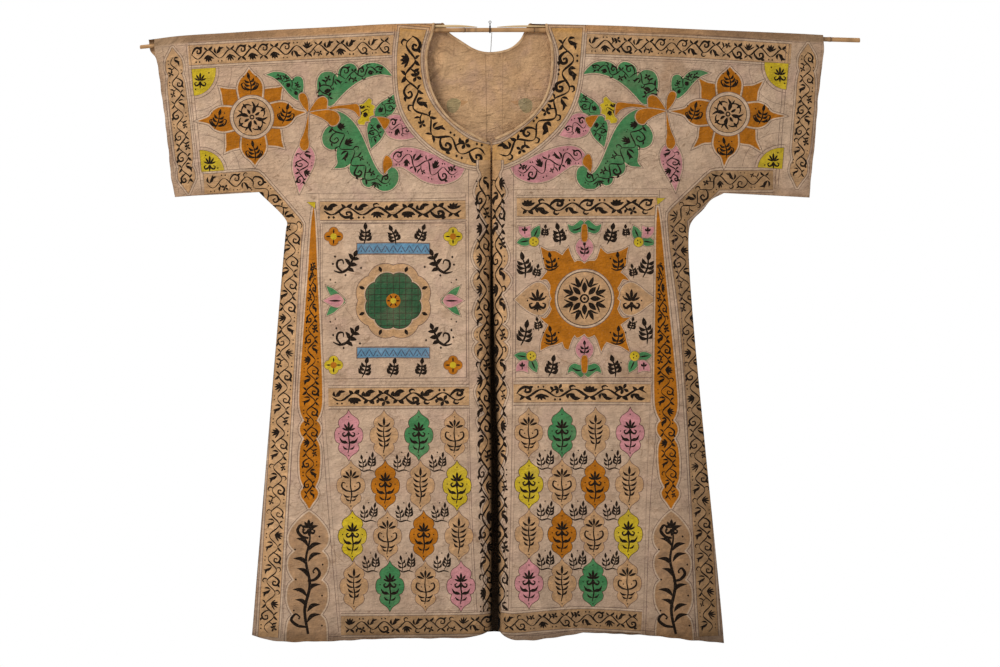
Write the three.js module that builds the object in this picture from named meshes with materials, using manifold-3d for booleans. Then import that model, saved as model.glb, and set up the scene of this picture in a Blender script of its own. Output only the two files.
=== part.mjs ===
// Open-fronted talismanic shirt of painted cotton, spread on a thin bamboo rod that
// hangs from one wire eye. Millimetres, +Z up. The front of the shirt looks along -Y,
// so the wearer's right side is at -X. The origin is the middle of the wire eye.
//
// Each panel is laid out flat in its own pattern (u across, s down the cloth from the
// shoulder crest), cut to its outline, and then bent to its hanging shape: over the rod
// at the crest, slightly apart over the body, and together again at the side seams.

import * as THREE from 'three';
import { mergeVertices } from 'three/addons/utils/BufferGeometryUtils.js';
import Module from 'manifold-3d';

const wasm = await Module();
wasm.setup();

// ---------------------------------------------------------------- sizes

const WALL = 1.2;                 // thickness of the cloth
const GAP = 0.3;                  // room kept between neighbouring pieces

const FOLD_R = 4.6;               // radius of the shoulder fold, middle of the wall
const FOLD_ARC = FOLD_R * Math.PI / 2;
const FOLD_START = 0.2;           // a panel's edge along the crest, from the plane y = 0
const FOLD_RUN = 120;             // length below the fold over which the panels part

const SEAM_HALF = WALL / 2 + GAP / 2;   // middle of the wall from y = 0 at a seam
const SEAM_RUN = 62;              // width over which a panel rises from a seam
const SLEEVE_ROOM = 8;            // half the space inside a sleeve
const SLEEVE_FROM = 225;          // |x| where the body's room begins to change to the sleeve's
const SLEEVE_TO = 335;

const BINDING_W = 3.2;            // rolled neck edge
const BINDING_T = 0.9;
const STRIP_GAP = 0.4;            // a strip's clearance over the faceted panel

const ROD_SIDES = 12;
const SLAT_W = 4.6;               // split-bamboo slats that lie on the rod
const WIRE_R = 0.45;
const EYE_R = 1.6;
const THREAD_R = 0.5;

const BOW = 1e-5;                 // bow of a flat blank, taken out again after it is cut

// ---------------------------------------------------------------- tables

const table = (columns, rows) => rows.map(
  (row) => Object.fromEntries(columns.map((name, i) => [name, row[i]])));

// the shoulder crest, where the cloth turns over the rod
const CREST = table(['x', 'z'], [
  [-480, -25.4], [-434, -19.6], [-367, -15.4], [-301, -11.2], [-217, -7.0],
  [-133, -2.8], [0, -2.1], [98, -3.5], [182, -5.6], [245, -8.4],
  [308, -11.2], [371, -13.8], [434, -16.6], [470, -18.6],
]);

// half the space between the front and the back of the body, by height
const ROOM = table(['z', 'half'], [
  [0, 5], [-100, 9], [-200, 13], [-400, 18], [-600, 24], [-870, 30],
]);

// cuffs, from the crest down; the back's right cuff reaches a little further out
const CUFF_RIGHT = table(['x', 'z'], [
  [-469.5, -25], [-469, -39], [-466, -53], [-457.8, -109], [-450.8, -165],
  [-445.2, -221], [-441, -245],
]);
const CUFF_RIGHT_BACK = table(['x', 'z'], [
  [-478, -25.4], [-476.5, -39], [-469, -49], [-466, -58], [-457.8, -109],
  [-450.8, -165], [-445.2, -221], [-441, -245],
]);
const CUFF_LEFT = table(['x', 'z'], [
  [466, -18.6], [466.9, -39], [465.5, -53], [458.5, -109], [454.3, -165],
  [448.7, -221], [447.3, -245.7],
]);

// under the sleeve, round the underarm and down the side to the hem
const SEAM_RIGHT = table(['x', 'z'], [
  [-441, -245], [-323.4, -238], [-284.2, -280], [-285.6, -291], [-333.2, -858.2],
]);
const SEAM_LEFT = table(['x', 'z'], [
  [447.3, -245.7], [327.6, -239.4], [309.4, -249], [298, -263], [284, -277],
  [278.6, -291], [327.6, -869.4],
]);

// hems, from the side towards the middle
const HEM_RIGHT = table(['x', 'z'], [
  [-305.2, -863.7], [-266, -864.3], [-196, -862.2], [-126, -860.1],
  [-49, -859.4], [-28, -858], [-14, -855.2], [-4, -851.5],
]);
const HEM_LEFT = table(['x', 'z'], [
  [308, -866], [266, -860.1], [224, -855.5], [196, -853], [161, -851.9],
  [126, -853.1], [98, -857.3], [77, -860.1], [56, -861.8], [35, -861.5],
  [21, -857.3], [14, -851.5],
]);
const HEM_BACK = table(['x', 'z'], [
  [-300, -861], [-200, -860], [-60, -857], [80, -857], [200, -860], [290, -866],
]);

// edge of the neck hole, from the crest down to the opening
const NECK_RIGHT = table(['x', 'z'], [
  [-79.4, -11.8], [-86.2, -35.4], [-88.2, -49], [-87.2, -68.6], [-82.3, -92.4],
  [-71.5, -115.9], [-51.8, -139.4], [-28.3, -155.1], [-8.7, -165.6], [-0.6, -167.6],
]);
const NECK_LEFT = table(['x', 'z'], [
  [79.8, -13.7], [84.7, -29.4], [86.7, -55], [83.7, -84.4], [75.9, -108.1],
  [62, -127.7], [42.4, -145.3], [22.8, -156.8], [9, -162.6], [4.2, -164.4],
]);
const NECK_BACK = table(['x', 'z'], [
  [-58.8, -13.4], [-42, -25.8], [-21, -38.3], [0, -42.4], [28, -36.9],
  [42, -25.8], [49, -13.4],
]);
const NECK_CREST = { right: -78, left: 78, backRight: -66, backLeft: 56 };

// the front opening: where its middle runs, half its width, and how each front's edge
// curls back into the shirt (turn of the curl, cloth in the curl, straight end beyond it)
const OPENING = table(['z', 'middle', 'half', 'turn', 'bend', 'tail'], [
  [-60, 2.1, 0.9, 1, 20, 0],
  [-168, 2.1, 0.9, 25, 20, 0],
  [-252, 1.8, 1.0, 45, 26, 0],
  [-400, 2.8, 1.6, 75, 36, 0],
  [-526, 4.4, 2.2, 85, 40, 4],
  [-605, 6.2, 3.0, 92, 42, 6],
  [-683, 7.0, 3.5, 97, 43, 8],
  [-870, 7.0, 3.8, 100, 44, 8],
]);

// broad folds that rise from the hem: foot, head, half width at the foot, height out
const FOLDS = table(['panel', 'footX', 'footZ', 'headX', 'headZ', 'half', 'out'], [
  ['front', 161, -860, 118, -520, 46, -9],
  ['front', 58, -860, 72, -600, 30, 5],
  ['front', 262, -866, 232, -560, 38, 6],
  ['front', -120, -862, -150, -600, 60, -4],
  ['front', -215, -862, -205, -560, 45, 4],
  ['back', -150, -860, -120, -480, 60, -7],
  ['back', 40, -858, 30, -430, 55, 6],
  ['back', 200, -862, 170, -560, 50, -6],
]);

// the rod: its axis and radius, with the swellings of the bamboo's joints
const ROD = table(['x', 'z', 'r'], [
  [-490, -35, 2.7], [-406, -26.9, 2.8], [-322, -20.7, 2.9], [-238, -15.7, 2.95],
  [-138.6, -12, 3.0], [0, -11.2, 3.05], [98, -11.3, 3.1], [210, -14.3, 3.1],
  [319, -18.4, 3.15], [434, -23, 3.2], [518, -25.4, 3.2],
]);
const ROD_JOINTS = table(['x', 'swell'], [
  [-372, 0.25], [-206, 0.25], [-36, 0.28], [61, 0.28], [262, 0.25], [476, 0.3],
]);

// the two slats on the rod: station, height there
const SLAT_RIGHT = table(['x', 'tall'], [
  [-270, 0.9], [-210, 1.8], [-140, 3.2], [-70, 3.9], [-40, 3.4], [-18, 1.0],
]);
const SLAT_LEFT = table(['x', 'tall'], [
  [10, 1.0], [34, 2.6], [80, 2.9], [130, 2.4], [190, 1.6], [230, 0.9],
]);

// ---------------------------------------------------------------- helpers

const lerp = (a, b, t) => a + (b - a) * t;
const clamp01 = (t) => Math.min(1, Math.max(0, t));
const smooth = (t) => { const c = clamp01(t); return c * c * (3 - 2 * c); };
const ease = (t) => Math.sin(clamp01(t) * Math.PI / 2);
const rad = (deg) => deg * Math.PI / 180;

// value of a column at a place along the key column, eased through the rows
function read(rows, key, at, column) {
  const up = rows[rows.length - 1][key] > rows[0][key];
  const n = rows.length;
  let i = 0;
  while (i < n - 2 && (up ? at > rows[i + 1][key] : at < rows[i + 1][key])) i += 1;
  const a = rows[i], b = rows[i + 1];
  const span = b[key] - a[key];
  const t = (at - a[key]) / span;
  const before = rows[Math.max(0, i - 1)], after = rows[Math.min(n - 1, i + 2)];
  const slopeA = i > 0 ? (b[column] - before[column]) / (b[key] - before[key]) : (b[column] - a[column]) / span;
  const slopeB = i < n - 2 ? (after[column] - a[column]) / (after[key] - a[key]) : (b[column] - a[column]) / span;
  if (t < 0 || t > 1) return (t < 0 ? a[column] + slopeA * (at - a[key]) : b[column] + slopeB * (at - b[key]));
  const t2 = t * t, t3 = t2 * t;
  return (2 * t3 - 3 * t2 + 1) * a[column] + (t3 - 2 * t2 + t) * span * slopeA
    + (-2 * t3 + 3 * t2) * b[column] + (t3 - t2) * span * slopeB;
}

const crestZ = (x) => read(CREST, 'x', x, 'z');

function distanceTo(line, x, z) {
  let best = Infinity;
  for (let i = 0; i + 1 < line.length; i += 1) {
    const ax = line[i].x, az = line[i].z;
    const bx = line[i + 1].x - ax, bz = line[i + 1].z - az;
    const t = clamp01(((x - ax) * bx + (z - az) * bz) / (bx * bx + bz * bz));
    best = Math.min(best, Math.hypot(x - ax - bx * t, z - az - bz * t));
  }
  return best;
}

// how far a panel has risen from its seam, 0 at the seam and 1 past its run
const risen = (x, z) => ease(distanceTo(x < 0 ? SEAM_RIGHT : SEAM_LEFT, x, z) / SEAM_RUN);

// half the space between front and back, where the cloth lies `down` below the crest
function halfDepth(x, z) {
  const down = crestZ(x) - z;
  const room = lerp(read(ROOM, 'z', z, 'half'), SLEEVE_ROOM,
    smooth((Math.abs(x) - SLEEVE_FROM) / (SLEEVE_TO - SLEEVE_FROM)) * smooth((z + 420) / 160));
  const shoulder = FOLD_R + (room - FOLD_R) * ease((down - FOLD_R) / FOLD_RUN);
  return SEAM_HALF + (shoulder - SEAM_HALF) * risen(x, z);
}

function foldsOut(panel, x, z) {
  let out = 0;
  for (const fold of FOLDS) {
    if (fold.panel !== panel) continue;
    const t = (z - fold.footZ) / (fold.headZ - fold.footZ);
    if (t >= 1) continue;
    const rise = Math.max(0, t);
    const middle = lerp(fold.footX, fold.headX, t);
    const half = fold.half * (1 - 0.35 * rise);
    out += fold.out * smooth(1 - rise) * Math.exp(-(((x - middle) / half) ** 2));
  }
  return out * risen(x, z);
}

// ---------------------------------------------------------------- pattern to shape

// pattern length s from the crest for a height z, below the turn of the fold
const downCloth = (x, z) => crestZ(x) - z - FOLD_R + FOLD_ARC;

// the curl of one front's opening edge at height z; side is -1 for the wearer's right
function curlAt(side, z) {
  const at = Math.max(-870, Math.min(-60, z));
  const turn = rad(read(OPENING, 'z', at, 'turn')) * (side < 0 ? 1 : 0.92);
  const bend = read(OPENING, 'z', at, 'bend');
  const tail = read(OPENING, 'z', at, 'tail');
  const radius = bend / turn;
  const reach = turn >= Math.PI / 2 ? radius : radius * Math.sin(turn) + tail * Math.cos(turn);
  const edge = read(OPENING, 'z', at, 'middle')
    + side * (read(OPENING, 'z', at, 'half') + WALL / 2);
  return { turn, bend, tail, radius, start: edge + side * reach };
}

// pattern u of a point that is seen at x, z on a front
function acrossCloth(side, x, z) {
  const curl = curlAt(side, z);
  const into = (curl.start - x) * side;
  if (into <= 0) return x;
  const angle = Math.asin(Math.min(1, into / curl.radius));
  return curl.start - side * Math.min(angle, curl.turn) * curl.radius;
}

// middle of the wall of a panel at pattern place u, s
function middleOf(panel, side, u, s) {
  let x = u;
  const crest = crestZ(u);
  let y, z;
  if (s < FOLD_ARC) {
    const angle = s / FOLD_R;
    y = FOLD_R * Math.sin(angle);
    z = crest - FOLD_R * (1 - Math.cos(angle));
  } else {
    z = crest - FOLD_R - (s - FOLD_ARC);
    y = halfDepth(u, z);
  }
  y += foldsOut(panel, u, z) * smooth((s - FOLD_ARC) / 60);
  if (panel === 'back') return new THREE.Vector3(x, y, z);
  let back = 0;
  const curl = curlAt(side, z);
  const into = (curl.start - u) * side;
  if (into > 0) {
    const angle = Math.min(into / curl.radius, curl.turn);
    const past = Math.max(0, into - curl.bend);
    const along = curl.radius * Math.sin(angle) + past * Math.cos(curl.turn);
    back = curl.radius * (1 - Math.cos(angle)) + past * Math.sin(curl.turn);
    x = curl.start - side * along;
    y = s < FOLD_ARC ? y : halfDepth(curl.start, z) + foldsOut(panel, curl.start, z) * smooth((s - FOLD_ARC) / 60);
  }
  return new THREE.Vector3(x, -y + back, z);
}

function bent(panel, side, u, s, w) {
  const h = 0.05;
  const alongU = middleOf(panel, side, u + h, s).sub(middleOf(panel, side, u - h, s));
  const alongS = middleOf(panel, side, u, s + h).sub(middleOf(panel, side, u, s - h));
  const out = panel === 'back'
    ? new THREE.Vector3().crossVectors(alongU, alongS)
    : new THREE.Vector3().crossVectors(alongS, alongU);
  return middleOf(panel, side, u, s).addScaledVector(out.normalize(), w);
}

// turns every face over where a mapping has mirrored the solid
function facingOut(geometry) {
  const p = geometry.getAttribute('position'), index = geometry.getIndex();
  const a = new THREE.Vector3(), b = new THREE.Vector3(), c = new THREE.Vector3();
  let volume = 0;
  for (let i = 0; i < index.count; i += 3) {
    a.fromBufferAttribute(p, index.getX(i));
    b.fromBufferAttribute(p, index.getX(i + 1));
    c.fromBufferAttribute(p, index.getX(i + 2));
    volume += a.dot(b.cross(c));
  }
  if (volume < 0) {
    for (let i = 0; i < index.count; i += 3) {
      const keep = index.getX(i + 1);
      index.setX(i + 1, index.getX(i + 2));
      index.setX(i + 2, keep);
    }
  }
  geometry.computeVertexNormals();
  return geometry;
}

function solidOf(geometry) {
  const bare = geometry.index ? geometry.clone() : geometry;
  bare.deleteAttribute('normal');
  bare.deleteAttribute('uv');
  const whole = mergeVertices(bare, 1e-4);
  return new wasm.Manifold(new wasm.Mesh({
    numProp: 3,
    vertProperties: new Float32Array(whole.getAttribute('position').array),
    triVerts: new Uint32Array(whole.getIndex().array),
  }));
}

function geometryOf(solid) {
  const mesh = solid.getMesh();
  const geometry = new THREE.BufferGeometry();
  const positions = new Float32Array((mesh.vertProperties.length / mesh.numProp) * 3);
  for (let i = 0; i < positions.length / 3; i += 1) {
    for (let k = 0; k < 3; k += 1) positions[i * 3 + k] = mesh.vertProperties[i * mesh.numProp + k];
  }
  geometry.setAttribute('position', new THREE.BufferAttribute(positions, 3));
  geometry.setIndex(Array.from(mesh.triVerts));
  return geometry;
}

// a panel: a flat blank ruled along uLines and sLines, cut to its outline, then bent
function panelGeometry(panel, side, outline, uLines, sLines) {
  const blank = new THREE.BoxGeometry(1, 1, WALL, uLines.length - 1, sLines.length - 1, 1);
  const p = blank.getAttribute('position');
  for (let i = 0; i < p.count; i += 1) {
    const u = uLines[Math.round((p.getX(i) + 0.5) * (uLines.length - 1))];
    const s = sLines[Math.round((p.getY(i) + 0.5) * (sLines.length - 1))];
    p.setXYZ(i, u, s, p.getZ(i) + BOW * (u * u + s * s));
  }
  const cutter = new THREE.ExtrudeGeometry(new THREE.Shape(outline), { depth: 60, bevelEnabled: false });
  cutter.translate(0, 0, -20);
  const cut = geometryOf(solidOf(blank).intersect(solidOf(cutter)));
  const q = cut.getAttribute('position');
  for (let i = 0; i < q.count; i += 1) {
    const u = q.getX(i), s = q.getY(i);
    const w = Math.sign(q.getZ(i) - BOW * (u * u + s * s)) * WALL / 2;
    const v = bent(panel, side, u, s, w);
    q.setXYZ(i, v.x, v.y, v.z);
  }
  return facingOut(cut);
}

// a strip that lies on a panel along one of its edges
function stripGeometry(panel, side, edge, inward, width, thick) {
  const positions = [], index = [];
  const low = WALL / 2 + STRIP_GAP, high = low + thick;
  edge.forEach((e, i) => {
    const inner = new THREE.Vector2().copy(e).addScaledVector(inward[i], 0.25);
    const outer = new THREE.Vector2().copy(e).addScaledVector(inward[i], 0.25 + width);
    for (const [at, w] of [[inner, low], [outer, low], [outer, high], [inner, high]]) {
      positions.push(...bent(panel, side, at.x, at.y, w).toArray());
    }
    if (i > 0) {
      for (let k = 0; k < 4; k += 1) {
        const a = (i - 1) * 4 + k, b = (i - 1) * 4 + (k + 1) % 4;
        index.push(a, b, b + 4, a, b + 4, a + 4);
      }
    }
  });
  const last = (edge.length - 1) * 4;
  index.push(0, 2, 1, 0, 3, 2, last, last + 1, last + 2, last, last + 2, last + 3);
  const geometry = new THREE.BufferGeometry();
  geometry.setAttribute('position', new THREE.Float32BufferAttribute(positions, 3));
  geometry.setIndex(index);
  return facingOut(geometry);
}

// ---------------------------------------------------------------- outlines

const v2 = (u, s) => new THREE.Vector2(u, s);
const onPattern = (side, row) => v2(side ? acrossCloth(side, row.x, row.z) : row.x, downCloth(row.x, row.z));

// points along a smooth edge: close together over the turn of the fold, then open
function along(through, bothEnds) {
  const curve = new THREE.SplineCurve(through);
  const length = curve.getLength();
  const near = [0, 1.8, 3.6, 5.4, 7.2, 9.5, 13];
  const from = near[near.length - 1], to = bothEnds ? length - from : length;
  const count = Math.round((to - from) / 9.5);
  const places = [...near];
  for (let i = 1; i <= count; i += 1) places.push(lerp(from, to, i / count));
  if (bothEnds) places.push(...near.slice(0, -1).reverse().map((d) => length - d));
  return places.map((d) => curve.getPointAt(clamp01(d / length)));
}

const neckEdge = (side, crestX, rows) => along(
  [v2(crestX, FOLD_START), ...rows.map((row) => onPattern(side, row))], false);

const backNeck = () => along([v2(NECK_CREST.backRight, FOLD_START),
  ...NECK_BACK.map((row) => onPattern(0, row)), v2(NECK_CREST.backLeft, FOLD_START)], true);

function inwardOf(points, sign) {
  return points.map((_, i) => {
    const a = points[Math.max(0, i - 1)], b = points[Math.min(points.length - 1, i + 1)];
    return v2(-(b.y - a.y), b.x - a.x).normalize().multiplyScalar(sign);
  });
}

function frontOutline(side) {
  const right = side < 0;
  const neck = neckEdge(side, right ? NECK_CREST.right : NECK_CREST.left, right ? NECK_RIGHT : NECK_LEFT);
  const cuff = right ? CUFF_RIGHT : CUFF_LEFT;
  const seam = right ? SEAM_RIGHT : SEAM_LEFT;
  const hem = right ? HEM_RIGHT : HEM_LEFT;
  const points = [v2(cuff[0].x, FOLD_START)];
  points.push(...cuff.slice(1).map((row) => onPattern(0, row)));
  points.push(...seam.slice(1).map((row) => onPattern(0, row)));
  points.push(...hem.map((row) => onPattern(side, row)));
  const low = hem[hem.length - 1].z + 3, high = (right ? NECK_RIGHT : NECK_LEFT).at(-1).z;
  const steps = 14;
  for (let i = 0; i < steps; i += 1) {
    const z = lerp(low, high, i / steps);
    const curl = curlAt(side, z);
    points.push(v2(curl.start - side * (curl.bend + curl.tail), downCloth(curl.start, z)));
  }
  points.push(...[...neck].reverse());
  return { points, neck };
}

function backOutline() {
  const neck = backNeck();
  const points = [v2(CUFF_RIGHT_BACK[0].x, FOLD_START)];
  points.push(...CUFF_RIGHT_BACK.slice(1).map((row) => onPattern(0, row)));
  points.push(...SEAM_RIGHT.slice(1).map((row) => onPattern(0, row)));
  points.push(...HEM_BACK.map((row) => onPattern(0, row)));
  points.push(...[...SEAM_LEFT].reverse().map((row) => onPattern(0, row)));
  points.push(...[...CUFF_LEFT].reverse().slice(1, -1).map((row) => onPattern(0, row)));
  points.push(v2(CUFF_LEFT[0].x, FOLD_START));
  points.push(...[...neck].reverse());
  return { points, neck };
}

// ---------------------------------------------------------------- ruling of the blanks

function ruled(...stretches) {
  const lines = [stretches[0][0]];
  for (const [from, to, step] of stretches) {
    const count = Math.max(1, Math.round(Math.abs(to - from) / step));
    for (let i = 1; i <= count; i += 1) lines.push(lerp(from, to, i / count));
  }
  return lines;
}

const DOWN = ruled([-2, 0, 2], [0, FOLD_ARC, FOLD_ARC / 4], [FOLD_ARC, 22, 7.5], [22, 62, 20],
  [62, 272, 30], [272, 888, 34]);
const ACROSS_RIGHT = ruled([-484, -448, 18], [-448, -276, 29], [-276, -64, 30], [-64, -28, 18], [-28, 36, 8]);
const ACROSS_LEFT = ruled([-22, 34, 8], [34, 70, 18], [70, 280, 30], [280, 452, 29], [452, 474, 22]);
const ACROSS_BACK = ruled([-484, -448, 36], [-448, -276, 29], [-276, -66, 30], [-66, 66, 22],
  [66, 276, 30], [276, 452, 29], [452, 474, 22]);

// ---------------------------------------------------------------- rod, slats, wire, thread

function rodGeometry() {
  const from = ROD[0].x, to = ROD[ROD.length - 1].x;
  const stations = [from + 0.6];
  for (let x = from + 20; x < to - 10; x += 30) stations.push(x);
  for (const joint of ROD_JOINTS) stations.push(joint.x - 3.2, joint.x, joint.x + 3.2);
  stations.push(to - 0.6);
  stations.sort((a, b) => a - b);
  const kept = stations.filter((x, i) => i === 0 || x - stations[i - 1] > 1.5);
  const radiusAt = (x) => read(ROD, 'x', x, 'r')
    + ROD_JOINTS.reduce((sum, joint) => sum + joint.swell * Math.exp(-(((x - joint.x) / 2) ** 2)), 0);
  const profile = [v2(0, from), v2(radiusAt(from) * 0.75, from),
    ...kept.map((x) => v2(radiusAt(x), x)), v2(radiusAt(to) * 0.75, to), v2(0, to)];
  const geometry = new THREE.LatheGeometry(profile, ROD_SIDES);
  const p = geometry.getAttribute('position');
  for (let i = 0; i < p.count; i += 1) {
    p.setXYZ(i, p.getY(i), p.getX(i), p.getZ(i) + read(ROD, 'x', p.getY(i), 'z'));
  }
  geometry.deleteAttribute('normal');
  geometry.deleteAttribute('uv');
  return facingOut(mergeVertices(geometry, 1e-4));
}

function slatGeometry(rows) {
  const positions = [], index = [];
  const count = 14;
  for (let i = 0; i <= count; i += 1) {
    const x = lerp(rows[0].x, rows[rows.length - 1].x, i / count);
    const under = read(ROD, 'x', x, 'z') + read(ROD, 'x', x, 'r') + GAP + 0.3;
    const tall = Math.min(read(rows, 'x', x, 'tall'), crestZ(x) - WALL - 0.7 - under);
    const half = SLAT_W / 2 * (0.55 + 0.45 * Math.min(1, tall / 2.5));
    for (const [y, z] of [[-half, under], [half, under], [half * 0.8, under + tall], [-half * 0.8, under + tall]]) {
      positions.push(x, y, z);
    }
    if (i > 0) {
      for (let k = 0; k < 4; k += 1) {
        const a = (i - 1) * 4 + k, b = (i - 1) * 4 + (k + 1) % 4;
        index.push(a, b, b + 4, a, b + 4, a + 4);
      }
    }
  }
  const last = count * 4;
  index.push(0, 2, 1, 0, 3, 2, last, last + 1, last + 2, last, last + 2, last + 3);
  const geometry = new THREE.BufferGeometry();
  geometry.setAttribute('position', new THREE.Float32BufferAttribute(positions, 3));
  geometry.setIndex(index);
  return facingOut(geometry);
}

// wire eye, its twisted shank and two turns round the rod
function eyeGeometry() {
  const rodZ = read(ROD, 'x', 0, 'z'), rodR = read(ROD, 'x', 0, 'r');
  const turnWire = WIRE_R + 0.15;
  const turnR = rodR + GAP + turnWire + 0.12;
  const eye = new THREE.TorusGeometry(EYE_R, WIRE_R, 6, 16).rotateX(Math.PI / 2);
  const top = -EYE_R + 0.1, foot = rodZ + turnR;
  const shank = new THREE.CylinderGeometry(0.7, 0.85, top - foot, 10)
    .rotateX(Math.PI / 2).translate(0, 0, (top + foot) / 2);
  const knot = new THREE.SphereGeometry(1.35, 8, 6).translate(0, 0, foot + 0.9);
  const turns = [-0.55, 0.55].map((x) => new THREE.TorusGeometry(turnR, turnWire, 6, 16)
    .rotateY(Math.PI / 2).translate(x, 0, rodZ));
  const whole = [shank, knot, ...turns].reduce((sum, piece) => sum.add(solidOf(piece)), solidOf(eye));
  return facingOut(geometryOf(whole));
}

function threadGeometry() {
  const x = 2.6;
  const rodFoot = read(ROD, 'x', x, 'z') - read(ROD, 'x', x, 'r');
  const neckZ = read(NECK_BACK, 'x', 0.6, 'z');
  const from = new THREE.Vector3(x, 0, rodFoot - GAP - 0.15);
  const to = new THREE.Vector3(0.9, halfDepth(0.6, neckZ), neckZ + 0.55);
  const curve = new THREE.LineCurve3(from, to);
  const section = new THREE.Shape(Array.from({ length: 8 }, (_, i) => v2(
    THREAD_R * Math.cos(i * Math.PI / 4), THREAD_R * Math.sin(i * Math.PI / 4))));
  const geometry = new THREE.ExtrudeGeometry(section, { steps: 12, extrudePath: curve, bevelEnabled: false });
  geometry.deleteAttribute('normal');
  geometry.deleteAttribute('uv');
  return facingOut(mergeVertices(geometry, 1e-4));
}

// ---------------------------------------------------------------- the shirt

const cotton = (shade) => new THREE.MeshStandardMaterial({ color: shade, roughness: 0.9, metalness: 0 });
const bamboo = (shade) => new THREE.MeshStandardMaterial({ color: shade, roughness: 0.55, metalness: 0 });

const shirt = new THREE.Group();
shirt.name = 'talismanic_shirt';

function place(name, geometry, material, parent = shirt) {
  const mesh = new THREE.Mesh(geometry, material);
  mesh.name = name;
  parent.add(mesh);
  return mesh;
}

const cloth = new THREE.Group();
shirt.add(cloth);

for (const side of [-1, 1]) {
  const name = side < 0 ? 'right' : 'left';
  const { points, neck } = frontOutline(side);
  place(`front_${name}`, panelGeometry('front', side, points, side < 0 ? ACROSS_RIGHT : ACROSS_LEFT, DOWN),
    cotton(side < 0 ? 0xd2b594 : 0xcbb093), cloth);
  const edge = neck.slice(0, -1);
  place(`neck_edge_${name}`, stripGeometry('front', side, edge, inwardOf(edge, side < 0 ? -1 : 1).map((d) => (
    d.x * side > 0 ? d : d.multiplyScalar(-1))), BINDING_W, BINDING_T), cotton(0xd8bd9c), cloth);
}

{
  const { points, neck } = backOutline();
  place('back', panelGeometry('back', 0, points, ACROSS_BACK, DOWN), cotton(0xc7aa88), cloth);
  const inward = inwardOf(neck, 1).map((d) => (d.y > 0 ? d : d.multiplyScalar(-1)));
  inward[0].set(-1, 0);
  inward[inward.length - 1].set(1, 0);
  place('neck_edge_back', stripGeometry('back', 0, neck, inward, BINDING_W, BINDING_T), cotton(0xd0b592), cloth);
}

const hanger = new THREE.Group();
shirt.add(hanger);
place('rod', rodGeometry(), bamboo(0xa97b45), hanger);
place('slat_right', slatGeometry(SLAT_RIGHT), bamboo(0xe2cfae), hanger);
place('slat_left', slatGeometry(SLAT_LEFT), bamboo(0xe2cfae), hanger);
place('hanging_eye', eyeGeometry(), new THREE.MeshStandardMaterial({ color: 0x2a2622, roughness: 0.6, metalness: 0.5 }), hanger);
place('tie_thread', threadGeometry(), cotton(0x6b5a48), hanger);

export default shirt;
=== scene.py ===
import math
import random

import bpy
import numpy as np
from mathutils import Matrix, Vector
from mathutils.geometry import delaunay_2d_cdt


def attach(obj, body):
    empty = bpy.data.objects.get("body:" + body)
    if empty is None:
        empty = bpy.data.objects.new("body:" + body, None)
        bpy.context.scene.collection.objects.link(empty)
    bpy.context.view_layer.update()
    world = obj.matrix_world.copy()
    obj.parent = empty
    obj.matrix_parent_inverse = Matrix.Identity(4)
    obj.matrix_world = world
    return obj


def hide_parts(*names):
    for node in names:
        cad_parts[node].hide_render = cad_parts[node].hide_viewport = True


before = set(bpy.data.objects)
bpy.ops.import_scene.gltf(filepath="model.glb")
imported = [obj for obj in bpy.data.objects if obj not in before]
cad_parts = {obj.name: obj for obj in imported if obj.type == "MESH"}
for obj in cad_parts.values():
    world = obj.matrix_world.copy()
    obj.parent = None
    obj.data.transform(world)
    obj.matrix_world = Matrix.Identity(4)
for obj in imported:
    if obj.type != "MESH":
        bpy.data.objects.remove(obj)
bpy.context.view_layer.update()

# =====================================================================================
# Sizes and tables of the CAD part, in millimetres (u across, s down the cloth)
# =====================================================================================

WALL = 0.7                  # thickness of the visible cloth
FOLD_R = 4.6
FOLD_ARC = FOLD_R * math.pi / 2
FOLD_START = 0.03
FOLD_RUN = 120
SEAM_HALF = 0.39            # middle of the visible cloth from y = 0 at a seam
SEAM_RUN = 62
SLEEVE_ROOM = 8
SLEEVE_FROM, SLEEVE_TO = 225, 335
CAD_WALL = 1.2

CREST = [(-480, -25.4), (-434, -19.6), (-367, -15.4), (-301, -11.2), (-217, -7.0),
         (-133, -2.8), (0, -2.1), (98, -3.5), (182, -5.6), (245, -8.4),
         (308, -11.2), (371, -13.8), (434, -16.6), (470, -18.6)]
ROOM = [(0, 5), (-100, 9), (-200, 13), (-400, 18), (-600, 24), (-870, 30)]
CUFF_RIGHT = [(-469.5, -25), (-469, -39), (-466, -53), (-457.8, -109), (-450.8, -165),
              (-445.2, -221), (-441, -245)]
CUFF_RIGHT_BACK = [(-478, -25.4), (-476.5, -39), (-469, -49), (-466, -58), (-457.8, -109),
                   (-450.8, -165), (-445.2, -221), (-441, -245)]
CUFF_LEFT = [(466, -18.6), (466.9, -39), (465.5, -53), (458.5, -109), (454.3, -165),
             (448.7, -221), (447.3, -245.7)]
SEAM_RIGHT = [(-441, -245), (-323.4, -238), (-284.2, -280), (-285.6, -291), (-333.2, -858.2)]
SEAM_LEFT = [(447.3, -245.7), (327.6, -239.4), (309.4, -249), (298, -263), (284, -277),
             (278.6, -291), (327.6, -869.4)]
HEM_RIGHT = [(-305.2, -863.7), (-266, -864.3), (-196, -862.2), (-126, -860.1),
             (-49, -859.4), (-28, -858), (-14, -855.2), (-4, -851.5)]
HEM_LEFT = [(308, -866), (266, -860.1), (224, -855.5), (196, -853), (161, -851.9),
            (126, -853.1), (98, -857.3), (77, -860.1), (56, -861.8), (35, -861.5),
            (21, -857.3), (14, -851.5)]
HEM_BACK = [(-300, -861), (-200, -860), (-60, -857), (80, -857), (200, -860), (290, -866)]
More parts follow.
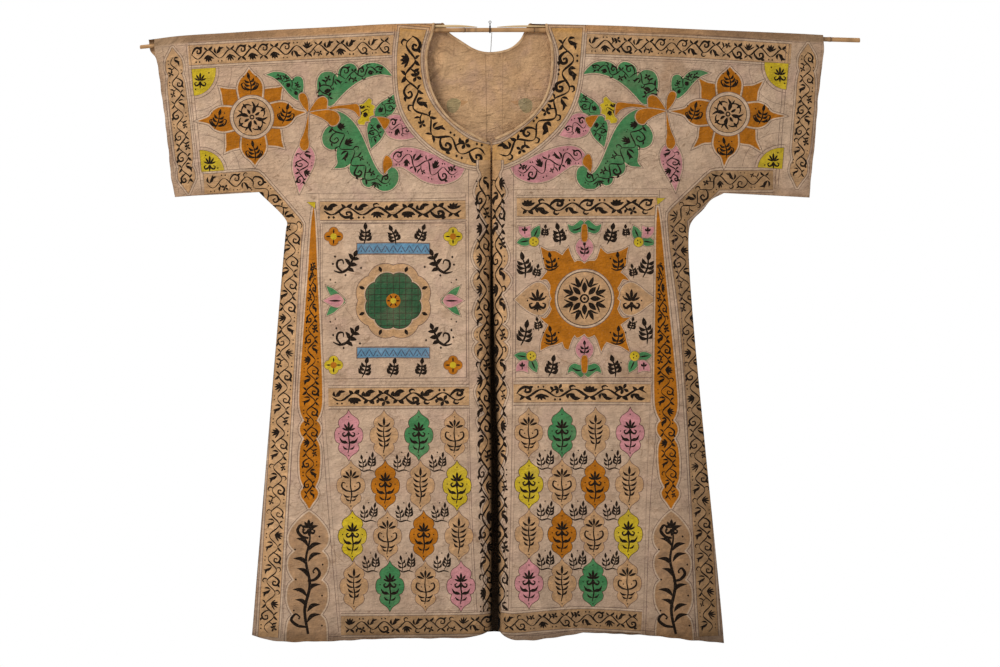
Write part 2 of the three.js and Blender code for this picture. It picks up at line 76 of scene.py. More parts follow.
NECK_RIGHT = [(-79.4, -11.8), (-86.2, -35.4), (-88.2, -49), (-87.2, -68.6), (-82.3, -92.4),
              (-71.5, -115.9), (-51.8, -139.4), (-28.3, -155.1), (-8.7, -165.6), (-0.6, -167.6)]
NECK_LEFT = [(79.8, -13.7), (84.7, -29.4), (86.7, -55), (83.7, -84.4), (75.9, -108.1),
             (62, -127.7), (42.4, -145.3), (22.8, -156.8), (9, -162.6), (4.2, -164.4)]
NECK_BACK = [(-58.8, -13.4), (-42, -25.8), (-21, -38.3), (0, -42.4), (28, -36.9),
             (42, -25.8), (49, -13.4)]
NECK_CREST = {"right": -78, "left": 78, "back_right": -66, "back_left": 56}

# height, middle and half width of the front opening; turn, cloth and tail of the curl
OPENING = [(-60, 2.1, 0.9, 1, 20, 0), (-168, 2.1, 0.9, 25, 20, 0), (-252, 1.8, 1.0, 45, 26, 0),
           (-400, 2.8, 1.6, 75, 36, 0), (-526, 4.4, 2.2, 85, 40, 4), (-605, 6.2, 3.0, 92, 42, 6),
           (-683, 7.0, 3.5, 97, 43, 8), (-870, 7.0, 3.8, 100, 44, 8)]

# broad folds: panel, foot x and z, head x and z, half width, height out
FOLDS = [("front", 161, -860, 118, -520, 46, -9), ("front", 58, -860, 72, -600, 30, 5),
         ("front", 262, -866, 232, -560, 38, 6), ("front", -120, -862, -150, -600, 60, -4),
         ("front", -215, -862, -205, -560, 45, 4), ("back", -150, -860, -120, -480, 60, -7),
         ("back", 40, -858, 30, -430, 55, 6), ("back", 200, -862, 170, -560, 50, -6)]

ROD = [(-490, -35, 2.7), (-406, -26.9, 2.8), (-322, -20.7, 2.9), (-238, -15.7, 2.95),
       (-138.6, -12, 3.0), (0, -11.2, 3.05), (98, -11.3, 3.1), (210, -14.3, 3.1),
       (319, -18.4, 3.15), (434, -23, 3.2), (518, -25.4, 3.2)]
ROD_JOINTS = [(-372, 0.25), (-206, 0.25), (-36, 0.28), (61, 0.28), (262, 0.25), (476, 0.3)]
SLAT_RIGHT = [(-270, 0.9), (-210, 1.8), (-140, 3.2), (-70, 3.9), (-40, 3.4), (-18, 1.0)]
SLAT_LEFT = [(10, 1.0), (34, 2.6), (80, 2.9), (130, 2.4), (190, 1.6), (230, 0.9)]

# Creases, listed one by one: panel, start, bend point, end, half width, height out (- is a trough)
CREASES = [
    # wearer's right front
    ("front", (-452, -60), (-380, -96), (-300, -112), 9, -1.5),
    ("front", (-448, -120), (-390, -150), (-330, -168), 12, 1.2),
    ("front", (-330, -40), (-300, -120), (-262, -205), 11, -1.6),
    ("front", (-290, -235), (-232, -196), (-168, -178), 12, -2.2),
    ("front", (-292, -262), (-236, -250), (-176, -262), 10, 1.3),
    ("front", (-280, -330), (-226, -352), (-150, -350), 12, -1.2),
    ("front", (-262, -300), (-252, -420), (-262, -560), 13, -1.8),
    ("front", (-236, -420), (-222, -520), (-232, -640), 12, 1.4),
    ("front", (-190, -520), (-120, -536), (-58, -524), 9, -0.8),
    ("front", (-104, -190), (-92, -300), (-106, -400), 12, -1.2),
    ("front", (-60, -210), (-56, -290), (-64, -360), 9, 1.0),
    ("front", (-66, -470), (-74, -600), (-62, -740), 13, -1.8),
    ("front", (-300, -640), (-262, -700), (-240, -800), 15, -1.9),
    ("front", (-312, -760), (-268, -790), (-196, -800), 11, 0.9),
    ("front", (-180, -640), (-168, -720), (-176, -830), 15, 1.5),
    ("front", (-150, -120), (-118, -150), (-92, -190), 9, -1.2),
    # wearer's left front
    ("front", (452, -66), (392, -104), (318, -118), 10, -1.6),
    ("front", (446, -150), (390, -168), (330, -190), 11, 1.2),
    ("front", (344, -44), (312, -124), (276, -206), 12, -1.5),
    ("front", (292, -236), (236, -206), (176, -190), 12, -2.0),
    ("front", (286, -282), (240, -276), (186, -290), 10, 1.3),
    ("front", (262, -320), (238, -430), (250, -560), 14, -2.0),
    ("front", (216, -330), (206, -420), (214, -520), 12, 1.4),
    ("front", (160, -150), (124, -166), (96, -204), 9, -1.3),
    ("front", (88, -220), (76, -320), (86, -420), 12, -1.1),
    ("front", (196, -430), (130, -442), (60, -436), 9, -0.8),
    ("front", (106, -480), (112, -560), (100, -660), 13, 1.5),
    ("front", (240, -600), (246, -700), (262, -806), 15, -2.2),
    ("front", (300, -700), (270, -760), (214, -792), 12, 1.2),
    ("front", (60, -560), (66, -660), (56, -770), 12, -1.6),
    # back
    ("back", (-450, -70), (-380, -108), (-296, -122), 11, -1.6),
    ("back", (-444, -150), (-386, -170), (-318, -196), 12, 1.3),
    ("back", (-336, -50), (-300, -130), (-268, -214), 12, -1.5),
    ("back", (-290, -240), (-222, -206), (-150, -196), 13, -2.2),
    ("back", (-280, -300), (-214, -310), (-140, -296), 11, 1.3),
    ("back", (-60, -52), (-20, -78), (44, -60), 10, -1.4),
    ("back", (-76, -90), (-10, -112), (66, -98), 11, 1.0),
    ("back", (-256, -330), (-240, -450), (-252, -590), 14, -2.0),
    ("back", (-170, -260), (-150, -360), (-160, -480), 14, 1.4),
    ("back", (-40, -160), (-30, -300), (-46, -440), 15, -1.5),
    ("back", (60, -220), (78, -340), (66, -470), 13, 1.4),
    ("back", (150, -180), (166, -300), (154, -420), 14, -1.6),
    ("back", (452, -76), (390, -110), (312, -126), 11, -1.5),
    ("back", (440, -160), (384, -182), (326, -200), 11, 1.2),
    ("back", (338, -56), (308, -130), (272, -214), 12, -1.6),
    ("back", (288, -242), (226, -214), (160, -204), 12, -2.0),
    ("back", (250, -330), (236, -460), (246, -600), 14, -1.8),
    ("back", (110, -520), (122, -640), (108, -760), 15, -1.7),
    ("back", (-80, -540), (-92, -660), (-80, -780), 15, 1.5),
    ("back", (-230, -640), (-244, -730), (-260, -820), 15, -1.9),
    ("back", (240, -650), (252, -730), (272, -820), 14, 1.5),
    ("back", (-190, -470), (-90, -486), (20, -470), 10, -0.9),
    ("back", (40, -610), (130, -596), (214, -616), 10, -0.9),
]

# =====================================================================================
# Tables read smoothly
# =====================================================================================


class Curve:
    """A column of a table, eased through its rows and straight beyond them."""

    def __init__(self, rows, key=0, column=1):
        x = np.array([r[key] for r in rows], float)
        y = np.array([r[column] for r in rows], float)
        if x[0] > x[-1]:
            x, y = x[::-1].copy(), y[::-1].copy()
        m = np.empty_like(y)
        m[1:-1] = (y[2:] - y[:-2]) / (x[2:] - x[:-2])
        m[0] = (y[1] - y[0]) / (x[1] - x[0])
        m[-1] = (y[-1] - y[-2]) / (x[-1] - x[-2])
        self.x, self.y, self.m = x, y, m

    def __call__(self, at):
        at = np.asarray(at, float)
        x, y, m = self.x, self.y, self.m
        i = np.clip(np.searchsorted(x, at) - 1, 0, len(x) - 2)
        span = x[i + 1] - x[i]
        t = (at - x[i]) / span
        t2, t3 = t * t, t * t * t
        mid = ((2 * t3 - 3 * t2 + 1) * y[i] + (t3 - 2 * t2 + t) * span * m[i]
               + (-2 * t3 + 3 * t2) * y[i + 1] + (t3 - t2) * span * m[i + 1])
        low = y[i] + m[i] * (at - x[i])
        high = y[i + 1] + m[i + 1] * (at - x[i + 1])
        return np.where(t < 0, low, np.where(t > 1, high, mid))


def clamp01(t):
    return np.clip(t, 0.0, 1.0)


def smooth(t):
    c = clamp01(t)
    return c * c * (3 - 2 * c)


def ease(t):
    return np.sin(clamp01(t) * math.pi / 2)


crest_z = Curve(CREST)
room_of = Curve(ROOM)
opening = {name: Curve(OPENING, 0, i + 1)
           for i, name in enumerate(("middle", "half", "turn", "bend", "tail"))}


def distance_to(line, x, z):
    best = np.full(np.shape(x), 1e9)
    for (ax, az), (bx, bz) in zip(line, line[1:]):
        dx, dz = bx - ax, bz - az
        t = clamp01(((x - ax) * dx + (z - az) * dz) / (dx * dx + dz * dz))
        best = np.minimum(best, np.hypot(x - ax - dx * t, z - az - dz * t))
    return best


def risen(x, z):
    d = np.where(x < 0, distance_to(SEAM_RIGHT, x, z), distance_to(SEAM_LEFT, x, z))
    return ease(d / SEAM_RUN)


def half_depth(x, z):
    down = crest_z(x) - z
    share = smooth((np.abs(x) - SLEEVE_FROM) / (SLEEVE_TO - SLEEVE_FROM)) * smooth((z + 420) / 160)
    room = room_of(z) * (1 - share) + SLEEVE_ROOM * share
    shoulder = FOLD_R + (room - FOLD_R) * ease((down - FOLD_R) / FOLD_RUN)
    return SEAM_HALF + (shoulder - SEAM_HALF) * risen(x, z)


def _bezier(a, b, c, n=9):
    t = np.linspace(0, 1, n)[:, None]
    a, b, c = np.array(a, float), np.array(b, float), np.array(c, float)
    return (1 - t) ** 2 * a + 2 * t * (1 - t) * b + t * t * c


CREASE_LINES = [(panel, _bezier(a, b, c), half, out) for panel, a, b, c, half, out in CREASES]


def _waves(seed, low, high, count, power):
    """Long soft waves of the cloth: direction, wavelength, phase and height."""
    rnd = random.Random(seed)
    rows = []
    for _ in range(count):
        length = low * (high / low) ** rnd.random()
        turn = rnd.random() * math.pi
        rows.append((math.cos(turn) * 2 * math.pi / length, math.sin(turn) * 2 * math.pi / length,
                     rnd.random() * 2 * math.pi, (length / high) ** power))
    scale = 1 / math.sqrt(sum(r[3] ** 2 for r in rows) / 2)
    return [(a, b, c, d * scale) for a, b, c, d in rows]


WAVES = {"front": _waves(11, 26, 110, 22, 1.1), "back": _waves(23, 28, 120, 22, 1.1)}


def relief(panel, x, z):
    """Folds, creases and rumples of one panel, as height out from its plain form."""
    x = np.asarray(x, float)
    z = np.asarray(z, float)
    out = np.zeros(np.shape(x))
    for name, foot_x, foot_z, head_x, head_z, half, height in FOLDS:
        if name != panel:
            continue
        t = (z - foot_z) / (head_z - foot_z)
        rise = np.maximum(0, t)
        middle = foot_x + (head_x - foot_x) * t
        wide = half * (1 - 0.35 * np.minimum(rise, 1))
        out += np.where(t < 1, height * smooth(1 - rise) * np.exp(-(((x - middle) / wide) ** 2)), 0)
    for name, line, half, height in CREASE_LINES:
        if name != panel:
            continue
        reach = 3.0 * half
        low, high = line.min(0) - reach, line.max(0) + reach
        near = np.nonzero((x > low[0]) & (x < high[0]) & (z > low[1]) & (z < high[1]))
        if not len(near[0]):
            continue
        px, pz = x[near], z[near]
        best = np.full(px.shape, 1e9)
        where = np.zeros(px.shape)
        n = len(line) - 1
        for i in range(n):
            ax, az = line[i]
            dx, dz = line[i + 1] - line[i]
            t = clamp01(((px - ax) * dx + (pz - az) * dz) / (dx * dx + dz * dz))
            d = np.hypot(px - ax - dx * t, pz - az - dz * t)
            hit = d < best
            best = np.where(hit, d, best)
            where = np.where(hit, (i + t) / n, where)
        taper = np.sin(math.pi * clamp01(where * 0.92 + 0.04)) ** 0.8
        wide = half * (0.75 + 0.25 * taper)
        out[near] += height * taper * (1.25 * np.exp(-((best / wide) ** 2)) - 0.25 * np.exp(-((best / (2.1 * wide)) ** 2)))
    rumple = np.zeros(np.shape(x))
    for kx, kz, phase, height in WAVES[panel]:
        rumple += height * np.sin(kx * x + kz * z + phase)
    out += 0.30 * rumple
    return out * risen(x, z)


def curl_at(side, z):
    at = np.clip(z, -870, -60)
    turn = np.radians(opening["turn"](at)) * (1 if side < 0 else 0.92)
    bend = opening["bend"](at)
    tail = opening["tail"](at)
    radius = bend / turn
    reach = np.where(turn >= math.pi / 2, radius, radius * np.sin(turn) + tail * np.cos(turn))
    edge = opening["middle"](at) + side * (opening["half"](at) + CAD_WALL / 2)
    return {"turn": turn, "bend": bend, "tail": tail, "radius": radius, "start": edge + side * reach}


def across_cloth(side, x, z):
    curl = curl_at(side, z)
    into = (curl["start"] - x) * side
    angle = np.arcsin(np.clip(into / curl["radius"], -1, 1))
    inside = curl["start"] - side * np.minimum(angle, curl["turn"]) * curl["radius"]
    return np.where(into <= 0, x, inside)


def down_cloth(x, z):
    return crest_z(x) - z - FOLD_R + FOLD_ARC


def middle_of(panel, side, u, s):
    """Middle of the cloth at pattern place u, s."""
    crest = crest_z(u)
    angle = s / FOLD_R
    fold = s < FOLD_ARC
    z = np.where(fold, crest - FOLD_R * (1 - np.cos(angle)), crest - FOLD_R - (s - FOLD_ARC))
    y = np.where(fold, FOLD_R * np.sin(angle), half_depth(u, z))
    y = y + relief(panel, u, z) * smooth((s - FOLD_ARC) / 60)
    if panel == "back":
        return np.stack([u, y, z], -1)
    curl = curl_at(side, z)
    into = (curl["start"] - u) * side
    turned = into > 0
    angle = np.minimum(into / curl["radius"], curl["turn"])
    past = np.maximum(0, into - curl["bend"])
    reach = curl["radius"] * np.sin(angle) + past * np.cos(curl["turn"])
    back = curl["radius"] * (1 - np.cos(angle)) + past * np.sin(curl["turn"])
    at_start = half_depth(curl["start"], z) + relief(panel, curl["start"], z) * smooth((s - FOLD_ARC) / 60)
    x = np.where(turned, curl["start"] - side * reach, u)
    y = np.where(turned & ~fold, at_start, y)
    back = np.where(turned, back, 0)
    return np.stack([x, -y + back, z], -1)


def frame_at(panel, side, u, s):
    """Middle point and outward normal at pattern places."""
    u = np.asarray(u, float)
    s = np.asarray(s, float)
    h = 0.05
    along_u = middle_of(panel, side, u + h, s) - middle_of(panel, side, u - h, s)
    along_s = middle_of(panel, side, u, s + h) - middle_of(panel, side, u, s - h)
    out = np.cross(along_u, along_s) if panel == "back" else np.cross(along_s, along_u)
    out /= np.linalg.norm(out, axis=-1, keepdims=True)
    return middle_of(panel, side, u, s), out


# =====================================================================================
# Smooth lines
# =====================================================================================


def spline(points, step, closed=False, corners=()):
    """Points along a smooth line through these, about `step` apart. `corners` are row numbers
    where the line turns sharply."""
    p = np.array(points, float)
    n = len(p)
    corners = set(c % n for c in corners)
    out = []
    count = n if closed else n - 1
    for i in range(count):
        a, b = p[i], p[(i + 1) % n]
        before = p[(i - 1) % n] if (closed or i > 0) else 2 * a - b
        after = p[(i + 2) % n] if (closed or i < n - 2) else 2 * b - a
        if i in corners:
            before = 2 * a - b
        if (i + 1) % n in corners:
            after = 2 * b - a
        d0 = max(np.linalg.norm(a - before), 1e-6) ** 0.5
        d1 = max(np.linalg.norm(b - a), 1e-6) ** 0.5
        d2 = max(np.linalg.norm(after - b), 1e-6) ** 0.5
        m1 = (a - before) / d0 - (b - before) / (d0 + d1) + (b - a) / d1
        m2 = (b - a) / d1 - (after - a) / (d1 + d2) + (after - b) / d2
        m1, m2 = m1 * d1, m2 * d1
        k = max(1, int(math.ceil(np.linalg.norm(b - a) / step)))
        t = (np.arange(k) / k)[:, None]
        out.append((2 * t ** 3 - 3 * t ** 2 + 1) * a + (t ** 3 - 2 * t ** 2 + t) * m1
                   + (-2 * t ** 3 + 3 * t ** 2) * b + (t ** 3 - t ** 2) * m2)
    if not closed:
        out.append(p[-1:])
    return np.concatenate(out)


def straight(points, step):
    """Points along straight lines through these, about `step` apart, without the last one."""
    p = np.array(points, float)
    out = []
    for a, b in zip(p, p[1:]):
        k = max(1, int(round(np.linalg.norm(b - a) / step)))
        out.append(a + (b - a) * (np.arange(k) / k)[:, None])
    return np.concatenate(out)


# =====================================================================================
# Outlines of the three cloth pieces, on the pattern
# =====================================================================================

EDGE_STEP = 3.0


def on_pattern(side, rows):
    x = np.array([r[0] for r in rows], float)
    z = np.array([r[1] for r in rows], float)
    return np.stack([across_cloth(side, x, z) if side else x, down_cloth(x, z)], -1)


def waver(points, seed, height):
    """The small unevenness of a hand-sewn edge."""
    rnd = random.Random(seed)
    rows = [(rnd.uniform(18, 60), rnd.random() * 6.3, rnd.uniform(0.4, 1.0)) for _ in range(5)]
    p = np.array(points, float)
    step = np.linalg.norm(np.diff(p, axis=0), axis=1)
    at = np.concatenate([[0], np.cumsum(step)])
    off = sum(h * np.sin(2 * math.pi * at / w + ph) for w, ph, h in rows) * height / 3
    ends = smooth(at / 25) * smooth((at[-1] - at) / 25)
    t = np.gradient(p, axis=0)
    t /= np.maximum(np.linalg.norm(t, axis=1, keepdims=True), 1e-9)
    return p + np.stack([-t[:, 1], t[:, 0]], -1) * (off * ends)[:, None]


def front_outline(side):
    right = side < 0
    neck_rows = NECK_RIGHT if right else NECK_LEFT
    neck = np.concatenate([[(NECK_CREST["right" if right else "left"], FOLD_START)],
                           on_pattern(side, neck_rows)])
    neck = spline(neck, 2.2)
    cuff = CUFF_RIGHT if right else CUFF_LEFT
    seam = SEAM_RIGHT if right else SEAM_LEFT
    hem = HEM_RIGHT if right else HEM_LEFT
    cuff_line = waver(spline(np.concatenate([[(cuff[0][0], FOLD_START)], on_pattern(0, cuff[1:])]), EDGE_STEP), 5 + side, 0.7)
    seam_line = spline(on_pattern(0, seam), EDGE_STEP, corners=(1,))
    hem_line = waver(spline(np.concatenate([on_pattern(0, seam[-1:]), on_pattern(side, hem)]), EDGE_STEP), 9 + side, 0.8)
    low, high = hem[-1][1] + 3, neck_rows[-1][1]
    z = low + (high - low) * np.arange(0, 240) / 240
    curl = curl_at(side, z)
    edge = np.stack([curl["start"] - side * (curl["bend"] + curl["tail"]), down_cloth(curl["start"], z)], -1)
    crest_u = np.linspace(neck[0][0], cuff[0][0], 120)[1:-1]
    crest_line = np.stack([crest_u, np.full(len(crest_u), FOLD_START)], -1)
    outline = np.concatenate([cuff_line[:-1], seam_line[:-1], hem_line, edge, neck[::-1], crest_line])
    return outline, neck


def back_outline():
    neck = np.concatenate([[(NECK_CREST["back_right"], FOLD_START)], on_pattern(0, NECK_BACK),
                           [(NECK_CREST["back_left"], FOLD_START)]])
    neck = spline(neck, 2.2)
    right = waver(spline(np.concatenate([[(CUFF_RIGHT_BACK[0][0], FOLD_START)], on_pattern(0, CUFF_RIGHT_BACK[1:])]), EDGE_STEP), 31, 0.7)
    seam_right = spline(on_pattern(0, SEAM_RIGHT), EDGE_STEP, corners=(1,))
    hem = waver(spline(on_pattern(0, [SEAM_RIGHT[-1], *HEM_BACK, SEAM_LEFT[-1]]), EDGE_STEP), 37, 0.8)
    seam_left = spline(on_pattern(0, SEAM_LEFT[::-1]), EDGE_STEP, corners=(5,))
    left = waver(spline(np.concatenate([on_pattern(0, CUFF_LEFT[:0:-1]), [(CUFF_LEFT[0][0], FOLD_START)]]), EDGE_STEP), 41, 0.7)
    crest_a = np.linspace(CUFF_LEFT[0][0], NECK_CREST["back_left"], 120)[1:-1]
    crest_b = np.linspace(NECK_CREST["back_right"], CUFF_RIGHT_BACK[0][0], 120)[1:-1]
    outline = np.concatenate([right[:-1], seam_right[:-1], hem[:-1], seam_left[:-1], left,
                              np.stack([crest_a, np.full(len(crest_a), FOLD_START)], -1),
                              neck[::-1],
                              np.stack([crest_b, np.full(len(crest_b), FOLD_START)], -1)])
    return outline, neck


# =====================================================================================
# From the layout sheet (seen from the front, 1.4 mm to a unit) to the pattern
# =====================================================================================

UNIT = 1.4
EYE_U, EYE_V = 490.0, 22.0
CAM_X, CAM_Y, CAM_Z = 14.0, -4000.0, -436.0


def to_cloth(panel, side, points):
    """Pattern places of points drawn on the layout sheet."""
    p = np.asarray(points, float)
    x0 = (p[:, 0] - EYE_U) * UNIT
    z0 = (EYE_V - p[:, 1]) * UNIT
    x, z = x0.copy(), z0.copy()
    sign = -1 if panel == "back" else 1
    for _ in range(4):
        if side:
            start = curl_at(side, z)["start"]
            at = np.where((start - x) * side > 0, start, x)
        else:
            at = x
        down = np.maximum(crest_z(at) - z, 0)
        flat = half_depth(at, z) + relief(panel, at, z) * smooth((down - FOLD_R) / 60)
        turn = FOLD_R * np.sin(np.arccos(np.clip(1 - down / FOLD_R, -1, 1)))
        h = np.where(down < FOLD_R, turn, flat) + WALL / 2
        share = (-CAM_Y - sign * h) / -CAM_Y
        x = CAM_X + (x0 - CAM_X) * share
        z = CAM_Z + (z0 - CAM_Z) * share
    u = across_cloth(side, x, z) if side else x
    down = crest_z(u) - z
    s = np.where(down < FOLD_R, FOLD_R * np.arccos(np.clip(1 - down / FOLD_R, -1, 1)), down - FOLD_R + FOLD_ARC)
    s = np.where(down < 0, down * 1.5, s)
    return np.stack([u, s], -1)


# =====================================================================================
# Colour
# =====================================================================================


def srgb(r, g, b):
    def one(v):
        v = v / 255
        return v / 12.92 if v <= 0.04045 else ((v + 0.055) / 1.055) ** 2.4
    return (one(r), one(g), one(b))


# =====================================================================================
# Polygons on the pattern
# =====================================================================================


def inside(points, polygon):
    """True where a point lies in the polygon, by its winding."""
    px, py = points[:, 0], points[:, 1]
    wind = np.zeros(len(points), np.int32)
    a = polygon
    b = np.roll(polygon, -1, axis=0)
    for i in range(0, len(a), 64):
        ax, ay = a[i:i + 64, 0][:, None], a[i:i + 64, 1][:, None]
        bx, by = b[i:i + 64, 0][:, None], b[i:i + 64, 1][:, None]
        left = (bx - ax) * (py[None] - ay) - (px[None] - ax) * (by - ay)
        up = (ay <= py[None]) & (by > py[None]) & (left > 0)
        down = (ay > py[None]) & (by <= py[None]) & (left < 0)
        wind += up.sum(0, dtype=np.int32) - down.sum(0, dtype=np.int32)
    return wind != 0


def triangulate(outline, grid, shapes):
    """Vertices and triangles of the outline's inside, with every shape's edge kept."""
    rings = [outline] + [s[0] for s in shapes]
    points = np.concatenate(rings + [grid])
    edges = []
    at = 0
    for ring in rings:
        n = len(ring)
        edges.extend((at + i, at + (i + 1) % n) for i in range(n))
        at += n
    out = delaunay_2d_cdt([Vector((float(x), float(y))) for x, y in points], edges, [], 0, 1e-3)
    verts = np.array([(v.x, v.y) for v in out[0]], float)
    faces = np.array(out[2], np.int64)
    a, b, c = verts[faces[:, 0]], verts[faces[:, 1]], verts[faces[:, 2]]
    area = (b[:, 0] - a[:, 0]) * (c[:, 1] - a[:, 1]) - (b[:, 1] - a[:, 1]) * (c[:, 0] - a[:, 0])
    faces = faces[np.abs(area) > 1e-7]
    area = area[np.abs(area) > 1e-7]
    flip = area < 0
    faces[flip] = faces[flip][:, ::-1]
    middle = verts[faces].mean(1)
    faces = faces[inside(middle, outline)]
    return verts, faces


def coloured(verts, faces, shapes, bare):
    """The topmost shape's paint for each triangle."""
    middle = verts[faces].mean(1)
    order = np.argsort(middle[:, 0])
    sorted_u = middle[order, 0]
    paint = np.tile(np.array(bare, float), (len(faces), 1))
    for ring, ink in shapes:
        low, high = ring.min(0), ring.max(0)
        i, j = np.searchsorted(sorted_u, low[0]), np.searchsorted(sorted_u, high[0])
        pick = order[i:j]
        v = middle[pick, 1]
        pick = pick[(v >= low[1]) & (v <= high[1])]
        if len(pick):
            hit = pick[inside(middle[pick], ring)]
            paint[hit] = ink
    return paint


def border_loop(faces):
    """The one loop of edges that belong to a single triangle, in order."""
    edges = np.concatenate([faces[:, [0, 1]], faces[:, [1, 2]], faces[:, [2, 0]]])
    key = np.sort(edges, axis=1)
    code = key[:, 0] * (faces.max() + 1) + key[:, 1]
    _, first, count = np.unique(code, return_index=True, return_counts=True)
    rim = edges[first[count == 1]]
    after = {}
    for a, b in rim:
        after.setdefault(int(a), []).append(int(b))
    loops = []
    while after:
        start = next(iter(after))
        loop = [start]
        here = start
        while True:
            nxt = after.get(here)
            if not nxt:
                break
            step = nxt.pop()
            if not nxt:
                del after[here]
            if step == start:
                break
            loop.append(step)
            here = step
        loops.append(loop)
    return max(loops, key=len)


def grid_for(outline, across, down):
    u, s = np.meshgrid(across, down)
    stagger = (np.arange(len(down)) % 2)[:, None] * (across[1] - across[0]) * 0.5
    p = np.stack([(u + stagger).ravel(), s.ravel()], -1)
    p = p[inside(p, outline)]
    # keep clear of the edge, so that no thin slivers stand there
    keep = np.ones(len(p), bool)
    for i in range(0, len(outline), 40):
        seg = outline[i:i + 40]
        d = np.hypot(p[:, 0][:, None] - seg[:, 0], p[:, 1][:, None] - seg[:, 1]).min(1)
        keep &= d > 1.6
    return p[keep]


def rows_down(step, to):
    fold = np.linspace(FOLD_START, FOLD_ARC, 7)[1:-1]
    return np.concatenate([fold, [FOLD_ARC, FOLD_ARC + 2.5], np.arange(FOLD_ARC + 6, to, step)])


# =====================================================================================
# Meshes
# =====================================================================================

MM = 0.001


def new_object(name, verts, faces, material, collection=None):
    mesh = bpy.data.meshes.new(name)
    mesh.from_pydata([tuple(map(float, v)) for v in verts], [], [tuple(map(int, f)) for f in faces])
    mesh.materials.append(material)
    mesh.update()
    obj = bpy.data.objects.new(name, mesh)
    bpy.context.scene.collection.objects.link(obj)
    return obj


def cloth_piece(name, panel, side, outline, outer_shapes, inner_shapes, material, fine, coarse, bare):
    low, high = outline.min(0), outline.max(0)
    grid = grid_for(outline, np.arange(low[0] - fine, high[0] + fine, fine), rows_down(fine, high[1] + fine))
    verts, faces = triangulate(outline, grid, outer_shapes)
    loop = border_loop(faces)
    used = np.unique(faces)
    renumber = -np.ones(len(verts), np.int64)
    renumber[used] = np.arange(len(used))
    verts, faces = verts[used], renumber[faces]
    loop = [int(renumber[i]) for i in loop]
    paint = coloured(verts, faces, outer_shapes, bare)

    ring = verts[loop]
    grid = grid_for(ring, np.arange(low[0] - coarse, high[0] + coarse, coarse), rows_down(coarse, high[1] + coarse))
    rings = [ring] + [s[0] for s in inner_shapes]
    points = np.concatenate(rings + [grid])
    edges, at = [], 0
    for r in rings:
        edges.extend((at + i, at + (i + 1) % len(r)) for i in range(len(r)))
        at += len(r)
    out = delaunay_2d_cdt([Vector((float(x), float(y))) for x, y in points], edges, [], 0, 1e-5)
    in_verts = np.array([(v.x, v.y) for v in out[0]], float)
    in_faces = np.array(out[2], np.int64)
    a, b, c = in_verts[in_faces[:, 0]], in_verts[in_faces[:, 1]], in_verts[in_faces[:, 2]]
    area = (b[:, 0] - a[:, 0]) * (c[:, 1] - a[:, 1]) - (b[:, 1] - a[:, 1]) * (c[:, 0] - a[:, 0])
    in_faces[area < 0] = in_faces[area < 0][:, ::-1]
    middle = in_verts[in_faces].mean(1)
    in_faces = in_faces[inside(middle, ring) & (np.abs(area) > 1e-8)]
    in_paint = coloured(in_verts, in_faces, inner_shapes, bare)
    place = {}
    for new, olds in enumerate(out[3]):
        for old in olds:
            if old < len(ring):
                place[old] = new
    in_loop = [place[i] for i in range(len(ring))]

    p_out, n_out = frame_at(panel, side, verts[:, 0], verts[:, 1])
    p_in, n_in = frame_at(panel, side, in_verts[:, 0], in_verts[:, 1])
    base = len(verts)
    position = np.concatenate([p_out + n_out * WALL / 2, p_in - n_in * WALL / 2])
    normal = np.concatenate([n_out, -n_in])
    pattern = np.concatenate([verts, in_verts])
    rim = []
    n = len(loop)
    for i in range(n):
        j = (i + 1) % n
        rim.append((loop[j], loop[i], base + in_loop[i]))
        rim.append((loop[j], base + in_loop[i], base + in_loop[j]))
    rim = np.array(rim, np.int64)
    flipped = panel == "front"
    outer = faces[:, ::-1] if flipped else faces
    inner = in_faces + base
    inner = inner if flipped else inner[:, ::-1]
    if flipped:
        rim = rim[:, ::-1]
    every = np.concatenate([outer, inner, rim])
    rim_paint = np.tile(np.array(bare, float), (len(rim), 1))
    paint = np.concatenate([paint, in_paint, rim_paint])

    obj = new_object(name, position * MM, every, material)
    mesh = obj.data
    mesh.polygons.foreach_set("use_smooth", np.ones(len(mesh.polygons), bool))
    corner = np.repeat(paint, 3, axis=0).astype(np.float32)
    layer = mesh.attributes.new("paint", "FLOAT_COLOR", "CORNER")
    layer.data.foreach_set("color", corner.ravel())
    rim_of = mesh.attributes.new("rim", "FLOAT", "POINT")
    rim_of.data.foreach_set("value", nearness(pattern, ring).astype(np.float32))
    # a point attribute of painted shade in and around the front opening
    painted_opening_shade_layer = mesh.attributes.new("painted_opening_shade", "FLOAT", "POINT")
    painted_opening_shade_layer.data.foreach_set("value", shade_of_opening(panel, side, pattern, len(verts)).astype(np.float32))
    uv = mesh.uv_layers.new(name="cloth")
    vert_of = np.zeros(len(mesh.loops), np.int32)
    mesh.loops.foreach_get("vertex_index", vert_of)
    uv.data.foreach_set("uv", (pattern[vert_of] * MM).astype(np.float32).ravel())
    mesh.normals_split_custom_set_from_vertices([tuple(map(float, v)) for v in normal])
    flat = triangle_area(verts, faces)
    print(name, "triangles", len(every), "outer", len(outer), "flat area", round(flat * 1e-6, 4),
          "flat box", np.round((verts.max(0) - verts.min(0)) * MM, 4))
    return obj, flat * 1e-6, (verts.max(0) - verts.min(0)) * MM


def shade_of_opening(panel, side, pattern, outer):
    """Painted shade where the fronts curl in, and on the back's inside behind the opening."""
    u, s = pattern[:, 0], pattern[:, 1]
    z = crest_z(u) - FOLD_R - (s - FOLD_ARC)
    below = smooth((-215 - z) / 150)
    if panel == "front":
        curl = curl_at(side, z)
        share = (curl["start"] - u) * side / (curl["radius"] * math.pi / 2)
        return below * 0.95 * smooth((share - 0.56) / 0.26)
    middle = opening["middle"](np.clip(z, -870, -60))
    out = below * 0.97 * np.exp(-(((u - middle) / 26) ** 4))
    out[:outer] = 0
    return out


